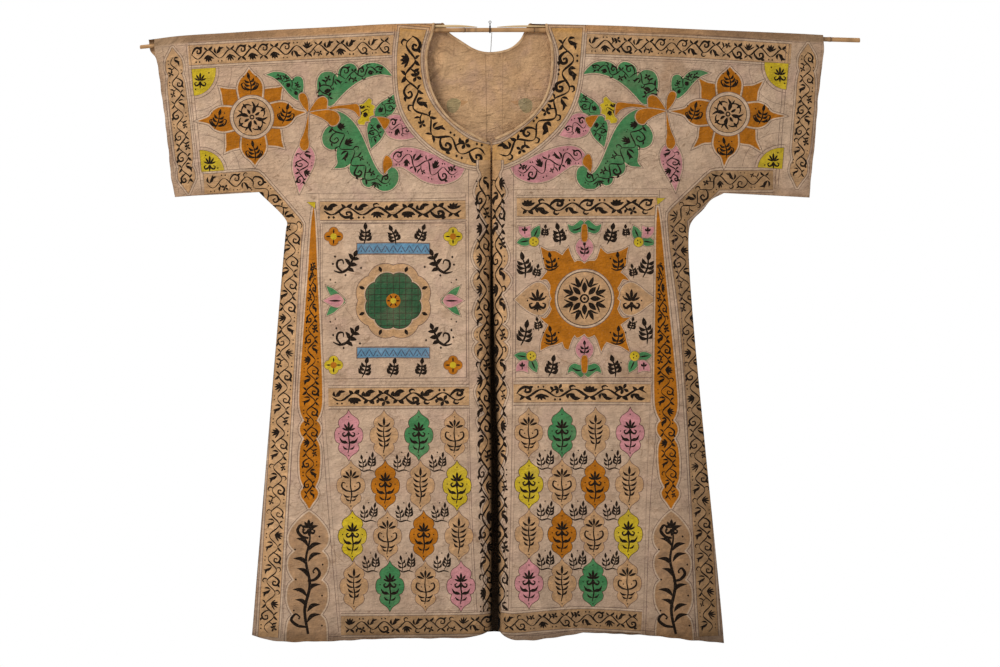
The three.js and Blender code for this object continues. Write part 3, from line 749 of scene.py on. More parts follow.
def nearness(points, ring):
    """1 at the edge of the cloth, fading inwards over some 12 mm."""
    best = np.full(len(points), 1e9)
    some = ring[::2]
    for i in range(0, len(some), 32):
        seg = some[i:i + 32]
        d = np.hypot(points[:, 0][:, None] - seg[:, 0], points[:, 1][:, None] - seg[:, 1]).min(1)
        best = np.minimum(best, d)
    return np.exp(-((best / 9.0) ** 1.3))


def triangle_area(verts, faces):
    a, b, c = verts[faces[:, 0]], verts[faces[:, 1]], verts[faces[:, 2]]
    return float(np.abs((b[:, 0] - a[:, 0]) * (c[:, 1] - a[:, 1])
                        - (b[:, 1] - a[:, 1]) * (c[:, 0] - a[:, 0])).sum() / 2)


# =====================================================================================
# Materials
# =====================================================================================


def nodes_of(name):
    material = bpy.data.materials.new(name)
    material.use_nodes = True
    tree = material.node_tree
    tree.nodes.clear()
    out = tree.nodes.new("ShaderNodeOutputMaterial")
    shader = tree.nodes.new("ShaderNodeBsdfPrincipled")
    tree.links.new(shader.outputs["BSDF"], out.inputs["Surface"])
    return material, tree, shader


class Weave:
    """Short words for building a node tree."""

    def __init__(self, tree):
        self.n, self.tree = tree.nodes, tree

    def link(self, a, b):
        self.tree.links.new(a, b)

    def coords(self, uv=None):
        if uv:
            node = self.n.new("ShaderNodeUVMap")
            node.uv_map = uv
            return node.outputs["UV"]
        return self.n.new("ShaderNodeTexCoord").outputs["Object"]

    def scaled(self, vector, scale, turn=(0, 0, 0), shift=(0, 0, 0)):
        node = self.n.new("ShaderNodeMapping")
        node.inputs["Scale"].default_value = scale
        node.inputs["Rotation"].default_value = turn
        node.inputs["Location"].default_value = shift
        self.link(vector, node.inputs["Vector"])
        return node.outputs["Vector"]

    def noise(self, vector, scale, detail=3.0, rough=0.55, warp=0.0):
        node = self.n.new("ShaderNodeTexNoise")
        node.inputs["Scale"].default_value = scale
        node.inputs["Detail"].default_value = detail
        node.inputs["Roughness"].default_value = rough
        node.inputs["Distortion"].default_value = warp
        self.link(vector, node.inputs["Vector"])
        return node.outputs["Fac"]

    def ramp(self, value, low, high, to_low=0.0, to_high=1.0, soft=True):
        node = self.n.new("ShaderNodeMapRange")
        node.interpolation_type = "SMOOTHSTEP" if soft else "LINEAR"
        node.inputs["From Min"].default_value = low
        node.inputs["From Max"].default_value = high
        node.inputs["To Min"].default_value = to_low
        node.inputs["To Max"].default_value = to_high
        self.link(value, node.inputs["Value"])
        return node.outputs["Result"]

    def math(self, kind, a, b=None, c=None):
        node = self.n.new("ShaderNodeMath")
        node.operation = kind
        for i, v in enumerate((a, b, c)):
            if v is None:
                continue
            if isinstance(v, (int, float)):
                node.inputs[i].default_value = v
            else:
                self.link(v, node.inputs[i])
        return node.outputs["Value"]

    def mix(self, factor, a, b, kind="MIX"):
        node = self.n.new("ShaderNodeMix")
        node.data_type = "RGBA"
        node.blend_type = kind
        node.clamp_factor = True
        for i, v in ((0, factor), (6, a), (7, b)):
            if isinstance(v, (int, float)):
                node.inputs[i].default_value = v
            elif isinstance(v, tuple):
                node.inputs[i].default_value = (*v, 1)
            else:
                self.link(v, node.inputs[i])
        return node.outputs[2]

    def split(self, vector):
        node = self.n.new("ShaderNodeSeparateXYZ")
        self.link(vector, node.inputs["Vector"])
        return node.outputs["X"], node.outputs["Y"], node.outputs["Z"]

    def grey(self, value):
        node = self.n.new("ShaderNodeCombineColor")
        for i in range(3):
            self.link(value, node.inputs[i])
        return node.outputs["Color"]

    def bump(self, height, strength, distance, under=None):
        node = self.n.new("ShaderNodeBump")
        node.inputs["Strength"].default_value = strength
        node.inputs["Distance"].default_value = distance
        self.link(height, node.inputs["Height"])
        if under is not None:
            self.link(under, node.inputs["Normal"])
        return node.outputs["Normal"]


def cotton(name, pale, warm, low, shift):
    """Old painted cotton: uneven tone, threads, stains, paint that has sunk in and worn, and painted light and shade in
    its colour.
    """
    material, tree, shader = nodes_of(name)
    w = Weave(tree)
    shader.inputs["Roughness"].default_value = 0.92
    shader.inputs["Specular IOR Level"].default_value = 0.10
    cloth = w.coords("cloth")
    place = w.coords()
    x, y, z = w.split(place)
    across, along, _ = w.split(cloth)

    big = w.ramp(w.noise(w.scaled(cloth, (1, 1, 1), shift=(shift, shift, 0)), 6.5, 4.0, 0.6, 0.4), 0.34, 0.68)
    base = w.mix(big, srgb(*pale), srgb(*warm))
    rosy = w.ramp(w.noise(w.scaled(cloth, (1, 1, 1), shift=(2.2, shift, 0)), 21.0, 4.0, 0.62, 0.5), 0.46, 0.70)
    base = w.mix(w.math("MULTIPLY", rosy, 0.42), base, srgb(192, 156, 140))
    # darker towards the hem, most of all low on the wearer's left: partly age and stains, partly painted shade where
    # the light falls off downwards and the cloth turns away
    down = w.ramp(z, -0.22, -0.90)
    base = w.mix(w.math("MULTIPLY", down, 0.50), base, srgb(*low))
    corner = w.math("MULTIPLY", w.ramp(x, 0.02, 0.34), w.ramp(z, -0.36, -0.88))
    base = w.mix(w.math("MULTIPLY", corner, 0.22), base, srgb(132, 108, 90))
    # the crest: partly the cloth's own warmer tone, partly a painted highlight on the fold over the rod; warm and
    # bright near the neck, darker at the sleeves' ends, and painted paler where these meet the rod
    far = w.ramp(w.math("ABSOLUTE", x), 0.10, 0.42)
    crest = w.ramp(w.math("ADD", along, w.math("MULTIPLY", w.noise(cloth, 40.0, 2.0, 0.5), 0.003)), 0.0125, 0.0175, 1.0, 0.0)
    base = w.mix(w.math("MULTIPLY", crest, 0.80), base, w.mix(far, srgb(226, 168, 108), srgb(140, 108, 78)))
    tip = w.math("MULTIPLY", w.ramp(w.math("ABSOLUTE", x), 0.415, 0.450), w.ramp(z, -0.080, -0.045))
    base = w.mix(w.math("MULTIPLY", tip, 0.4), base, srgb(176, 148, 118))
    # the edges: painted shade of the turned edges, a blotchy darkening along the rim, less of it at the sleeves' ends
    rim = w.n.new("ShaderNodeAttribute")
    rim.attribute_name = "rim"
    edge = w.math("MULTIPLY", rim.outputs["Fac"], w.ramp(w.noise(cloth, 22.0, 3.0, 0.6), 0.30, 0.70, 0.30, 1.0))
    edge = w.math("MULTIPLY", edge, w.math("SUBTRACT", 0.78, w.math("MULTIPLY", tip, 0.5)))
    base = w.mix(edge, base, srgb(138, 102, 70))
    # stains: soft blots and small spots
    blot = w.ramp(w.noise(w.scaled(cloth, (1, 1, 1), shift=(3.1 + shift, 1.7, 0)), 15.0, 5.0, 0.62, 0.8), 0.55, 0.72)
    base = w.mix(w.math("MULTIPLY", blot, 0.36), base, srgb(156, 118, 84))
    spot = w.ramp(w.noise(w.scaled(cloth, (1, 1, 1), shift=(7.3, 5.1 + shift, 0)), 110.0, 2.0, 0.5), 0.70, 0.76)
    base = w.mix(w.math("MULTIPLY", spot, 0.5), base, srgb(112, 80, 56))
    # thin broken darker lines, like old fold lines
    fold = w.noise(w.scaled(cloth, (1.0, 1.35, 1), turn=(0, 0, 0.22), shift=(shift, 0, 0)), 17.0, 2.0, 0.5, 1.2)
    fold = w.ramp(w.math("ABSOLUTE", w.math("SUBTRACT", fold, 0.5)), 0.0, 0.012, 1.0, 0.0)
    broken = w.ramp(w.noise(cloth, 9.0, 2.0, 0.5), 0.42, 0.60)
    fold = w.math("MULTIPLY", fold, broken)
    small = w.noise(w.scaled(cloth, (1.0, 1.0, 1), turn=(0, 0, 0.7), shift=(shift, 4.4, 0)), 46.0, 2.0, 0.5, 1.0)
    small = w.ramp(w.math("ABSOLUTE", w.math("SUBTRACT", small, 0.5)), 0.0, 0.022, 1.0, 0.0)
    small = w.math("MULTIPLY", small, w.ramp(w.noise(w.scaled(cloth, (1, 1, 1), shift=(8.8, 3.3, 0)), 20.0, 2.0, 0.5), 0.44, 0.60))
    base = w.mix(w.math("MULTIPLY", fold, 0.50), base, srgb(130, 98, 74))
    base = w.mix(w.math("MULTIPLY", small, 0.34), base, srgb(132, 100, 76))
    # threads, slubs and the mottle of old size
    warp = w.noise(w.scaled(cloth, (640, 130, 1)), 1.0, 2.0, 0.6)
    weft = w.noise(w.scaled(cloth, (120, 700, 1)), 1.0, 2.0, 0.6)
    thread = w.math("ADD", w.math("MULTIPLY", warp, 0.5), w.math("MULTIPLY", weft, 0.5))
    tone = w.ramp(thread, 0.30, 0.70, 0.93, 1.05, soft=False)
    cloud = w.ramp(w.noise(cloth, 62.0, 5.0, 0.68), 0.25, 0.75, 0.85, 1.11, soft=False)
    grain = w.ramp(w.noise(w.scaled(cloth, (1, 1, 1), shift=(6.6, 0.9, 0)), 330.0, 4.0, 0.72), 0.25, 0.75, 0.85, 1.13, soft=False)
    tone = w.math("MULTIPLY", w.math("MULTIPLY", tone, cloud), grain)
    # crumples of the cloth: in relief, and as painted light and shade in its tone
    crumple = w.noise(w.scaled(cloth, (1, 1, 1), shift=(shift, 2.0, 0)), 30.0, 3.0, 0.5, 0.6)
    crumple = w.math("ABSOLUTE", w.math("SUBTRACT", crumple, 0.5))
    crumple = w.math("ADD", w.math("MULTIPLY", crumple, 2.2), w.math("MULTIPLY", w.noise(cloth, 62.0, 3.0, 0.55), 0.55))
    pucker = w.noise(w.scaled(cloth, (0.8, 1.45, 1), shift=(3.9, shift, 0)), 105.0, 3.0, 0.55, 0.5)
    crumple = w.math("ADD", crumple, w.math("MULTIPLY", w.math("ABSOLUTE", w.math("SUBTRACT", pucker, 0.5)), 1.3))
    level = w.noise(w.scaled(cloth, (0.62, 2.3, 1), turn=(0, 0, 0.06), shift=(shift, 6.1, 0)), 24.0, 5.0, 0.60, 0.9)
    crumple = w.math("ADD", crumple, w.math("MULTIPLY", w.math("ABSOLUTE", w.math("SUBTRACT", level, 0.5)), 1.5))
    tone = w.math("MULTIPLY", tone, w.ramp(crumple, 0.34, 1.02, 0.87, 1.09, soft=False))

    paint = w.n.new("ShaderNodeAttribute")
    paint.attribute_name = "paint"
    alpha = paint.outputs["Alpha"]
    inked = w.ramp(alpha, 0.955, 0.965, soft=False)
    washed = w.math("MULTIPLY", w.ramp(alpha, 0.54, 0.58, soft=False), w.ramp(alpha, 0.78, 0.82, 1.0, 0.0, soft=False))
    wear = w.ramp(w.noise(cloth, 260.0, 4.0, 0.7), 0.24, 0.44, 0.84, 1.0)
    patch = w.ramp(w.noise(w.scaled(cloth, (1, 1, 1), shift=(1.3, 9.1, 0)), 26.0, 4.0, 0.6), 0.28, 0.60, 0.88, 1.0)
    dry = w.ramp(w.noise(w.scaled(cloth, (1, 1, 1), shift=(5.5, 7.1, 0)), 420.0, 3.0, 0.7), 0.24, 0.46, 0.80, 1.0)
    hold = w.math("ADD", w.math("MULTIPLY", w.math("MULTIPLY", wear, patch), w.math("SUBTRACT", 1.0, inked)), w.math("MULTIPLY", dry, inked))
    cover = w.math("MULTIPLY", alpha, hold)
    # washes lie in pools, thin and thick
    pool = w.ramp(w.noise(w.scaled(cloth, (1, 1, 1), shift=(4.4, 2.2, 0)), 60.0, 4.0, 0.65, 0.5), 0.28, 0.72, 0.84, 1.10, soft=False)
    brushed = w.ramp(w.noise(w.scaled(cloth, (1, 1, 1), shift=(9.4, 6.2, 0)), 95.0, 5.0, 0.70, 0.7), 0.30, 0.68, 0.58, 1.14, soft=False)
    pool = w.math("ADD", w.math("MULTIPLY", pool, w.math("SUBTRACT", 1.0, washed)), w.math("MULTIPLY", brushed, washed))
    pigment = w.mix(1.0, paint.outputs["Color"], w.grey(pool), "MULTIPLY")
    colour = w.mix(cover, base, pigment)
    # painted light and shade: darker to the wearer's left as the light falls from the other side, lighter from the
    # chest down and darker again low down, darker at the hem and in a thin line along the edges, nearly black inside
    # the opening
    painted_opening_shade = w.n.new("ShaderNodeAttribute")
    painted_opening_shade.attribute_name = "painted_opening_shade"
    line = w.ramp(rim.outputs["Fac"], 0.86, 1.0, 1.0, 0.66, soft=False)
    line = w.math("MAXIMUM", line, w.math("MULTIPLY", tip, 0.96))
    painted_shade_east = w.ramp(x, -0.16, 0.36, 1.02, 0.92)
    painted_light_by_height = w.math("MULTIPLY", w.ramp(z, -0.20, -0.36, 1.0, 1.085), w.ramp(z, -0.66, -0.86, 1.0, 0.86))
    hem = w.math("MULTIPLY", w.ramp(z, -0.815, -0.850, 1.0, 0.86), w.ramp(z, -0.846, -0.856, 1.0, 0.74))
    painted_shade = w.math("MULTIPLY", w.math("MULTIPLY", painted_shade_east, painted_light_by_height), w.math("MULTIPLY", hem, line))
    painted_shade = w.math("MULTIPLY", painted_shade, w.ramp(painted_opening_shade.outputs["Fac"], 0.0, 1.0, 1.0, 0.05, soft=False))
    colour = w.mix(1.0, colour, w.grey(w.math("MULTIPLY", tone, painted_shade)), "MULTIPLY")
    w.link(colour, shader.inputs["Base Color"])

    # relief: crumples of the cloth, then its threads
    soft = w.bump(crumple, 0.90, 0.0030)
    fine = w.bump(w.math("ADD", thread, w.math("MULTIPLY", grain, 1.4)), 0.40, 0.00030, soft)
    w.link(fine, shader.inputs["Normal"])
    return material


def rolled_cotton(name, pale, low):
    """The rolled edge: the same cloth in uneven tone, with small stitches and painted shade where it meets the cloth.
    """
    material, tree, shader = nodes_of(name)
    w = Weave(tree)
    shader.inputs["Roughness"].default_value = 0.86
    shader.inputs["Specular IOR Level"].default_value = 0.22
    cloth = w.coords("cloth")
    tone = w.ramp(w.noise(w.scaled(cloth, (90, 300, 1)), 1.0, 4.0, 0.6), 0.3, 0.7)
    base = w.mix(tone, srgb(*low), srgb(*pale))
    blot = w.ramp(w.noise(w.scaled(cloth, (38, 38, 1)), 1.0, 3.0, 0.6), 0.45, 0.72)
    base = w.mix(w.math("MULTIPLY", blot, 0.42), base, srgb(150, 108, 70))
    mark = w.n.new("ShaderNodeAttribute")
    mark.attribute_name = "mark"
    # the mark: stitches and painted shade where the roll meets the cloth
    base = w.mix(mark.outputs["Fac"], base, srgb(86, 60, 42))
    w.link(base, shader.inputs["Base Color"])
    twist = w.noise(w.scaled(cloth, (420, 900, 1), turn=(0, 0, 0.5)), 1.0, 3.0, 0.6)
    w.link(w.bump(twist, 0.6, 0.0004), shader.inputs["Normal"])
    return material


def bamboo(name, pale, dark, rough=0.5):
    material, tree, shader = nodes_of(name)
    w = Weave(tree)
    shader.inputs["Specular IOR Level"].default_value = 0.42
    place = w.coords()
    grain = w.noise(w.scaled(place, (9, 900, 900)), 1.0, 4.0, 0.6)
    base = w.mix(w.ramp(grain, 0.30, 0.70), srgb(*dark), srgb(*pale))
    patch = w.ramp(w.noise(w.scaled(place, (34, 120, 120)), 1.0, 4.0, 0.6, 0.4), 0.50, 0.74)
    base = w.mix(w.math("MULTIPLY", patch, 0.5), base, srgb(112, 72, 36))
    mark = w.n.new("ShaderNodeAttribute")
    mark.attribute_name = "mark"
    base = w.mix(mark.outputs["Fac"], base, srgb(58, 34, 18))
    w.link(base, shader.inputs["Base Color"])
    w.link(w.ramp(grain, 0.2, 0.8, rough - 0.08, rough + 0.14), shader.inputs["Roughness"])
    w.link(w.bump(grain, 0.4, 0.0003), shader.inputs["Normal"])
    return material


def dark_wire(name):
    material, tree, shader = nodes_of(name)
    w = Weave(tree)
    shader.inputs["Metallic"].default_value = 0.7
    place = w.coords()
    rust = w.ramp(w.noise(place, 900.0, 4.0, 0.6), 0.42, 0.66)
    w.link(w.mix(rust, srgb(46, 42, 40), srgb(92, 58, 38)), shader.inputs["Base Color"])
    w.link(w.ramp(rust, 0.0, 1.0, 0.42, 0.8), shader.inputs["Roughness"])
    w.link(w.bump(rust, 0.4, 0.0001), shader.inputs["Normal"])
    return material


def spun_thread(name):
    material, tree, shader = nodes_of(name)
    w = Weave(tree)
    shader.inputs["Specular IOR Level"].default_value = 0.25
    shader.inputs["Roughness"].default_value = 0.85
    place = w.coords()
    fibre = w.noise(w.scaled(place, (3000, 3000, 500)), 1.0, 3.0, 0.6)
    w.link(w.mix(w.ramp(fibre, 0.3, 0.7), srgb(66, 52, 42), srgb(122, 104, 84)), shader.inputs["Base Color"])
    w.link(w.bump(fibre, 0.5, 0.0001), shader.inputs["Normal"])
    return material


def plain(name, shade, rough=0.6, metal=0.0):
    material, tree, shader = nodes_of(name)
    shader.inputs["Base Color"].default_value = (*srgb(*shade), 1)
    shader.inputs["Roughness"].default_value = rough
    shader.inputs["Metallic"].default_value = metal
    return material


# =====================================================================================
# Painting: inks, strokes and ornaments on the layout sheet
# =====================================================================================

INK = {
    "bare": ((198, 168, 140), 0.0),
    "gold": ((208, 160, 106), 0.72),
    "gold_deep": ((218, 164, 94), 0.77),
    # a darker gold as painted shade: the front's band away from the light and the bands low on the cloth
    "gold_painted_shade": ((176, 134, 86), 0.75),
    "tan": ((204, 155, 102), 0.72),
    "tan_dark": ((172, 128, 84), 0.72),
    "orange": ((184, 110, 10), 0.975),
    "yellow": ((208, 180, 18), 0.94),
    "pink": ((208, 138, 146), 0.92),
    "green": ((54, 132, 80), 0.945),
    "green_dark": ((22, 88, 56), 0.95),
    "green_line": ((4, 34, 20), 0.94),
    "blue": ((84, 142, 176), 0.92),
    "blue_line": ((30, 70, 104), 0.9),
    "cream": ((214, 188, 160), 0.36),
    "pencil": ((100, 76, 70), 0.86),
    "pencil_faint": ((112, 88, 80), 0.60),
    "ink": ((22, 13, 8), 0.985),
    "ink_brown": ((50, 30, 16), 0.94),
    "stain": ((140, 102, 68), 0.25),
    "ghost_green": ((106, 132, 92), 0.46),
    "ghost_orange": ((178, 122, 66), 0.46),
    "ghost_line": ((116, 88, 64), 0.42),
}


def orient(ring):
    p = np.asarray(ring, float)
    x, y = p[:, 0], p[:, 1]
    area = (x * np.roll(y, -1) - np.roll(x, -1) * y).sum()
    return p if area > 0 else p[::-1].copy()


def offset(ring, d):
    """The ring grown outwards by d, with blunted points."""
    p = orient(ring)
    keep = np.linalg.norm(p - np.roll(p, 1, axis=0), axis=1) > 1e-6
    p = p[keep]
    a = p - np.roll(p, 1, axis=0)
    b = np.roll(p, -1, axis=0) - p
    a /= np.linalg.norm(a, axis=1, keepdims=True)
    b /= np.linalg.norm(b, axis=1, keepdims=True)
    na = np.stack([a[:, 1], -a[:, 0]], -1)
    nb = np.stack([b[:, 1], -b[:, 0]], -1)
    m = na + nb
    size = np.linalg.norm(m, axis=1, keepdims=True)
    m = m / np.maximum(size, 1e-6)
    miter = 1 / np.maximum((m * na).sum(1, keepdims=True), 0.45)
    return p + m * miter * d


def annulus(outer, inner):
    a, b = orient(outer), orient(inner)[::-1]
    return np.concatenate([a, a[:1], b, b[:1]])


def circle(cx, cy, rx, ry=None, n=None, start=0.0):
    ry = rx if ry is None else ry
    n = n or max(10, int(2 * math.pi * max(rx, ry) / 1.7))
    t = start + np.arange(n) * 2 * math.pi / n
    return np.stack([cx + rx * np.cos(t), cy + ry * np.sin(t)], -1)


def arc(cx, cy, rx, ry, a0, a1, step=1.6):
    n = max(3, int(abs(a1 - a0) * max(rx, ry) / step))
    t = np.linspace(a0, a1, n)
    return np.stack([cx + rx * np.cos(t), cy + ry * np.sin(t)], -1)


def thinned(ring, slack, longest=4.4):
    """The ring without the points that lie within `slack` of the line past them."""
    p = np.asarray(ring, float)
    keep, a = [0], 0
    for b in range(2, len(p)):
        d = p[b] - p[a]
        size = math.hypot(d[0], d[1])
        q = p[a + 1:b] - p[a]
        if size > longest or size < 1e-6 or np.abs(q[:, 0] * d[1] - q[:, 1] * d[0]).max() > slack * size:
            keep.append(b - 1)
            a = b - 1
    keep.append(len(p) - 1)
    return p[keep] if len(keep) > 3 else p


def tube(line, widths):
    """A closed ring round a line, with these full widths along it."""
    p = np.asarray(line, float)
    t = np.gradient(p, axis=0)
    t /= np.maximum(np.linalg.norm(t, axis=1, keepdims=True), 1e-9)
    n = np.stack([-t[:, 1], t[:, 0]], -1)
    w = np.asarray(widths, float)[:, None] / 2
    return np.concatenate([p + n * w, (p - n * w)[::-1]])


class Sheet:
    """A painted side of one panel. Rings are kept in layout units, in painting order."""

    def __init__(self, panel, side):
        self.panel, self.side = panel, side
        self.rings, self.inks, self.flat = [], [], []
        self.turn = None            # an optional map of layout points, such as a mirror

    def ring(self, points, ink):
        p = np.asarray(points, float)
        if self.turn is not None:
            p = self.turn(p)
        colour, cover = INK[ink]
        self.rings.append(p)
        self.inks.append((*srgb(*colour), cover))
        self.flat.append(False)

    def raw(self, points, ink):
        """A ring given on the pattern itself."""
        colour, cover = INK[ink]
        self.rings.append(np.asarray(points, float))
        self.inks.append((*srgb(*colour), cover))
        self.flat.append(True)

    def stroke(self, points, width, ink="ink", taper=(0.25, 0.25), fat=0.5, step=1.5, smoothed=True, nib=None):
        """A brush stroke: thin at its ends by `taper`, fullest at `fat`."""
        line = spline(points, step) if smoothed and len(points) > 2 else spline(points, step)
        n = len(line)
        t = np.linspace(0, 1, n)
        rise = np.where(t < fat, t / max(fat, 1e-6), (1 - t) / max(1 - fat, 1e-6))
        low = np.where(t < fat, taper[0], taper[1])
        w = width * (low + (1 - low) * np.sin(clamp01(rise) * math.pi / 2))
        if nib is not None:
            d = np.gradient(line, axis=0)
            angle = np.arctan2(d[:, 1], d[:, 0])
            w = w * (0.42 + 0.58 * np.abs(np.sin(angle - nib)))
        self.ring(tube(line, w), ink)

    def line(self, points, width=0.6, ink="pencil", step=6.0, curved=False):
        p = spline(points, min(step, 3.0)) if curved else np.concatenate([straight(points, step), np.array(points[-1:], float)])
        self.ring(tube(p, np.full(len(p), width)), ink)

    def loop(self, ring, at, width, ink):
        """A line that runs round a ring, `at` outside it."""
        self.ring(annulus(offset(ring, at + width), offset(ring, at) if at else ring), ink)

    def blob(self, ring, ink, halo=1.1, edge=0.55, halo_ink="cream", edge_ink="pencil"):
        if edge:
            self.ring(offset(ring, halo + edge), edge_ink)
        if halo:
            self.ring(offset(ring, halo), halo_ink)
        self.ring(ring, ink)

    def leaf(self, base, tip, width, bend=0.0, ink="ink", fat=0.45):
        """A pointed leaf from base to tip, its widest part at `fat`."""
        a, b = np.array(base, float), np.array(tip, float)
        d = b - a
        size = np.hypot(*d)
        if size < 1e-6:
            return
        n = np.array([-d[1], d[0]]) / size
        k = max(5, int(size / 1.5))
        t = np.linspace(0, 1, k + 1)
        mid = a + d * t[:, None] + n * (np.sin(t * math.pi) * bend * size)[:, None]
        w = np.where(t < fat, np.sin(t / fat * math.pi / 2), np.cos((t - fat) / (1 - fat) * math.pi / 2)) ** 0.85
        left = mid + n * (w * width / 2)[:, None]
        right = mid - n * (w * width / 2)[:, None]
        self.ring(np.concatenate([left, right[-2:0:-1]]), ink)

    def dot(self, x, y, r, ink="ink"):
        self.ring([(x, y - r * 1.15), (x + r, y), (x, y + r * 1.15), (x - r, y)], ink)

    def shapes(self):
        if not self.rings:
            return []
        slack = 0.16 if self.panel == "back" else 0.06
        rings = [r if flat else thinned(r, slack) for r, flat in zip(self.rings, self.flat)]
        every = np.concatenate(rings)
        places = to_cloth(self.panel, self.side, every)
        out, at = [], 0
        for ring, ink, flat in zip(rings, self.inks, self.flat):
            out.append((ring if flat else places[at:at + len(ring)], ink))
            at += len(ring)
        return out


class Ribbon:
    """A band's middle line; at(t, n) is the point t along it and n to its side."""

    def __init__(self, points, curved=True, corners=()):
        self.p = spline(points, 1.0, corners=corners) if curved else np.concatenate([straight(points, 1.0), np.array(points[-1:], float)])
        step = np.linalg.norm(np.diff(self.p, axis=0), axis=1)
        self.t = np.concatenate([[0], np.cumsum(step)])
        self.length = float(self.t[-1])
        d = np.gradient(self.p, axis=0)
        # turn gently at corners
        k = np.ones(7) / 7
        pad = np.concatenate([np.repeat(d[:1], 3, 0), d, np.repeat(d[-1:], 3, 0)])
        d = np.stack([np.convolve(pad[:, i], k, "valid") for i in (0, 1)], -1)
        d /= np.linalg.norm(d, axis=1, keepdims=True)
        self.n = np.stack([-d[:, 1], d[:, 0]], -1)

    def at(self, t, n):
        t, n = np.broadcast_arrays(np.asarray(t, float), np.asarray(n, float))
        p = np.stack([np.interp(t, self.t, self.p[:, i]) for i in (0, 1)], -1)
        m = np.stack([np.interp(t, self.t, self.n[:, i]) for i in (0, 1)], -1)
        return p + m * n[..., None]

    def strip(self, half, low=0.0, high=None, step=2.5):
        """The ring of a plain band of this half width."""
        high = self.length if high is None else high
        t = np.linspace(low, high, max(2, int((high - low) / step)))
        h = half(t) if callable(half) else np.full(len(t), half)
        return np.concatenate([self.at(t, h), self.at(t, -h)[::-1]])

    def rail(self, n, width, low=0.0, high=None, step=3.0):
        high = self.length if high is None else high
        t = np.linspace(low, high, max(2, int((high - low) / step)))
        return np.concatenate([self.at(t, n + width / 2), self.at(t, n - width / 2)[::-1]])


def lobed(ribbon, profile, step=1.5):
    """A cartouche along a ribbon: rows of (t, half width); a third entry marks a pinch."""
    rows = [(r[0], r[1]) for r in profile]
    corners = [i for i, r in enumerate(profile) if len(r) > 2]
    side = spline(rows, step, corners=corners)
    left = ribbon.at(side[:, 0], side[:, 1])
    right = ribbon.at(side[:, 0], -side[:, 1])
    return np.concatenate([left, right[::-1]])


def vine(sheet, ribbon, low, high, half, pitch, weight, seed, ink="ink", leaves=True):
    """A wavy stem with tendrils, leaves and buds in its hollows."""
    rnd = random.Random(seed)
    count = max(2, int(round((high - low) / pitch)))
    pitch = (high - low) / count
    wide = half if callable(half) else (lambda t: half + 0 * np.asarray(t, float))
    t = np.linspace(low, high, max(8, int((high - low) / 1.3)))
    wave = 0.50 * wide(t) * np.sin((t - low) / pitch * math.pi)
    stem = ribbon.at(t, wave)
    slope = np.cos((t - low) / pitch * math.pi)
    drift = 1 + 0.16 * np.sin(t / 7.3 + seed) + 0.10 * np.sin(t / 3.1 + 2 * seed)
    w = weight * (0.30 + 0.42 * np.abs(slope)) * drift
    plainly = weight
    ends = np.minimum(1, np.minimum(t - low, high - t) / 5 + 0.2)
    sheet.ring(tube(stem, w * ends), ink)

    def put(k, sign, rows):
        a = low + k * pitch
        h = float(wide(a + 0.5 * pitch))
        return [tuple(ribbon.at(a + x * pitch, sign * y * h)) for x, y in rows]

    kinds = ["curl", "leaf", "bud", "fan", "curl", "leaf"]
    last = None
    for k in range(count):
        sign = 1 if k % 2 == 0 else -1      # the wave's crest lies on this side
        kind = rnd.choice([q for q in kinds if q != last])
        last = kind
        j = rnd.uniform(-0.05, 0.05)
        weight = plainly * rnd.uniform(0.80, 1.20)
        if kind == "curl":
            sheet.stroke(put(k, sign, [(-0.06, 0.05), (0.10 + j, -0.48), (0.42, -0.86), (0.80, -0.62), (0.74, -0.20), (0.46, -0.22), (0.50, -0.52)]),
                         weight, ink, (0.3, 0.5), 0.45)
            p = put(k, sign, [(0.50, -0.46)])[0]
            sheet.dot(p[0], p[1], weight * 0.42, ink)
            a, b = put(k, sign, [(0.62, -0.78), (0.98, -0.96)])
            sheet.leaf(a, b, weight * 1.15, 0.12, ink)
        elif kind == "leaf":
            a, b, c, d = put(k, sign, [(0.20, -0.02), (0.52, -0.98), (0.12, -0.80), (0.92, -0.74)])
            sheet.leaf(a, b, weight * 1.55, 0.14 * sign, ink)
            sheet.leaf(a, c, weight * 1.1, -0.18 * sign, ink)
            sheet.leaf(put(k, sign, [(0.36, -0.36)])[0], d, weight * 1.2, -0.16 * sign, ink)
        elif kind == "bud":
            sheet.stroke(put(k, sign, [(0.02, 0.0), (0.24, -0.42), (0.50, -0.52)]), weight * 0.6, ink, (0.5, 0.8), 0.5)
            c = put(k, sign, [(0.56, -0.56)])[0]
            for q in range(4):
                a = q * math.pi / 2 + 0.5 + j
                sheet.leaf(c, (c[0] + math.cos(a) * weight * 1.75, c[1] + math.sin(a) * weight * 1.75), weight * 1.0, 0, ink, 0.6)
            a, b = put(k, sign, [(0.18, -0.32), (0.02, -0.92)])
            sheet.leaf(a, b, weight * 1.0, 0.1, ink)
        else:
            base = put(k, sign, [(0.40, -0.06)])[0]
            for x, y, f in ((0.06, -0.60, 1.0), (0.24, -0.92, 1.15), (0.50, -1.0, 1.25), (0.76, -0.90, 1.15), (0.98, -0.58, 1.0)):
                sheet.leaf(base, put(k, sign, [(x, y)])[0], weight * 0.85 * f, 0, ink, 0.62)
        # over the crest: a small leaf or dots
        pick = rnd.random()
        if pick < 0.45:
            a, b = put(k, sign, [(0.46, 0.52), (0.86, 0.98)])
            sheet.leaf(a, b, weight * 1.2, -0.12 * sign, ink)
            a, b = put(k, sign, [(0.44, 0.52), (0.12, 0.94)])
            sheet.leaf(a, b, weight * 0.95, 0.14 * sign, ink)
        elif pick < 0.8:
            for x in (0.3, 0.62):
                p = put(k, sign, [(x + j, 0.86)])[0]
                sheet.dot(p[0], p[1], weight * 0.42, ink)
        else:
            sheet.stroke(put(k, sign, [(0.30, 0.46), (0.24, 0.82), (0.46, 0.98), (0.60, 0.80)]), weight * 0.7, ink, (0.5, 0.3), 0.4)


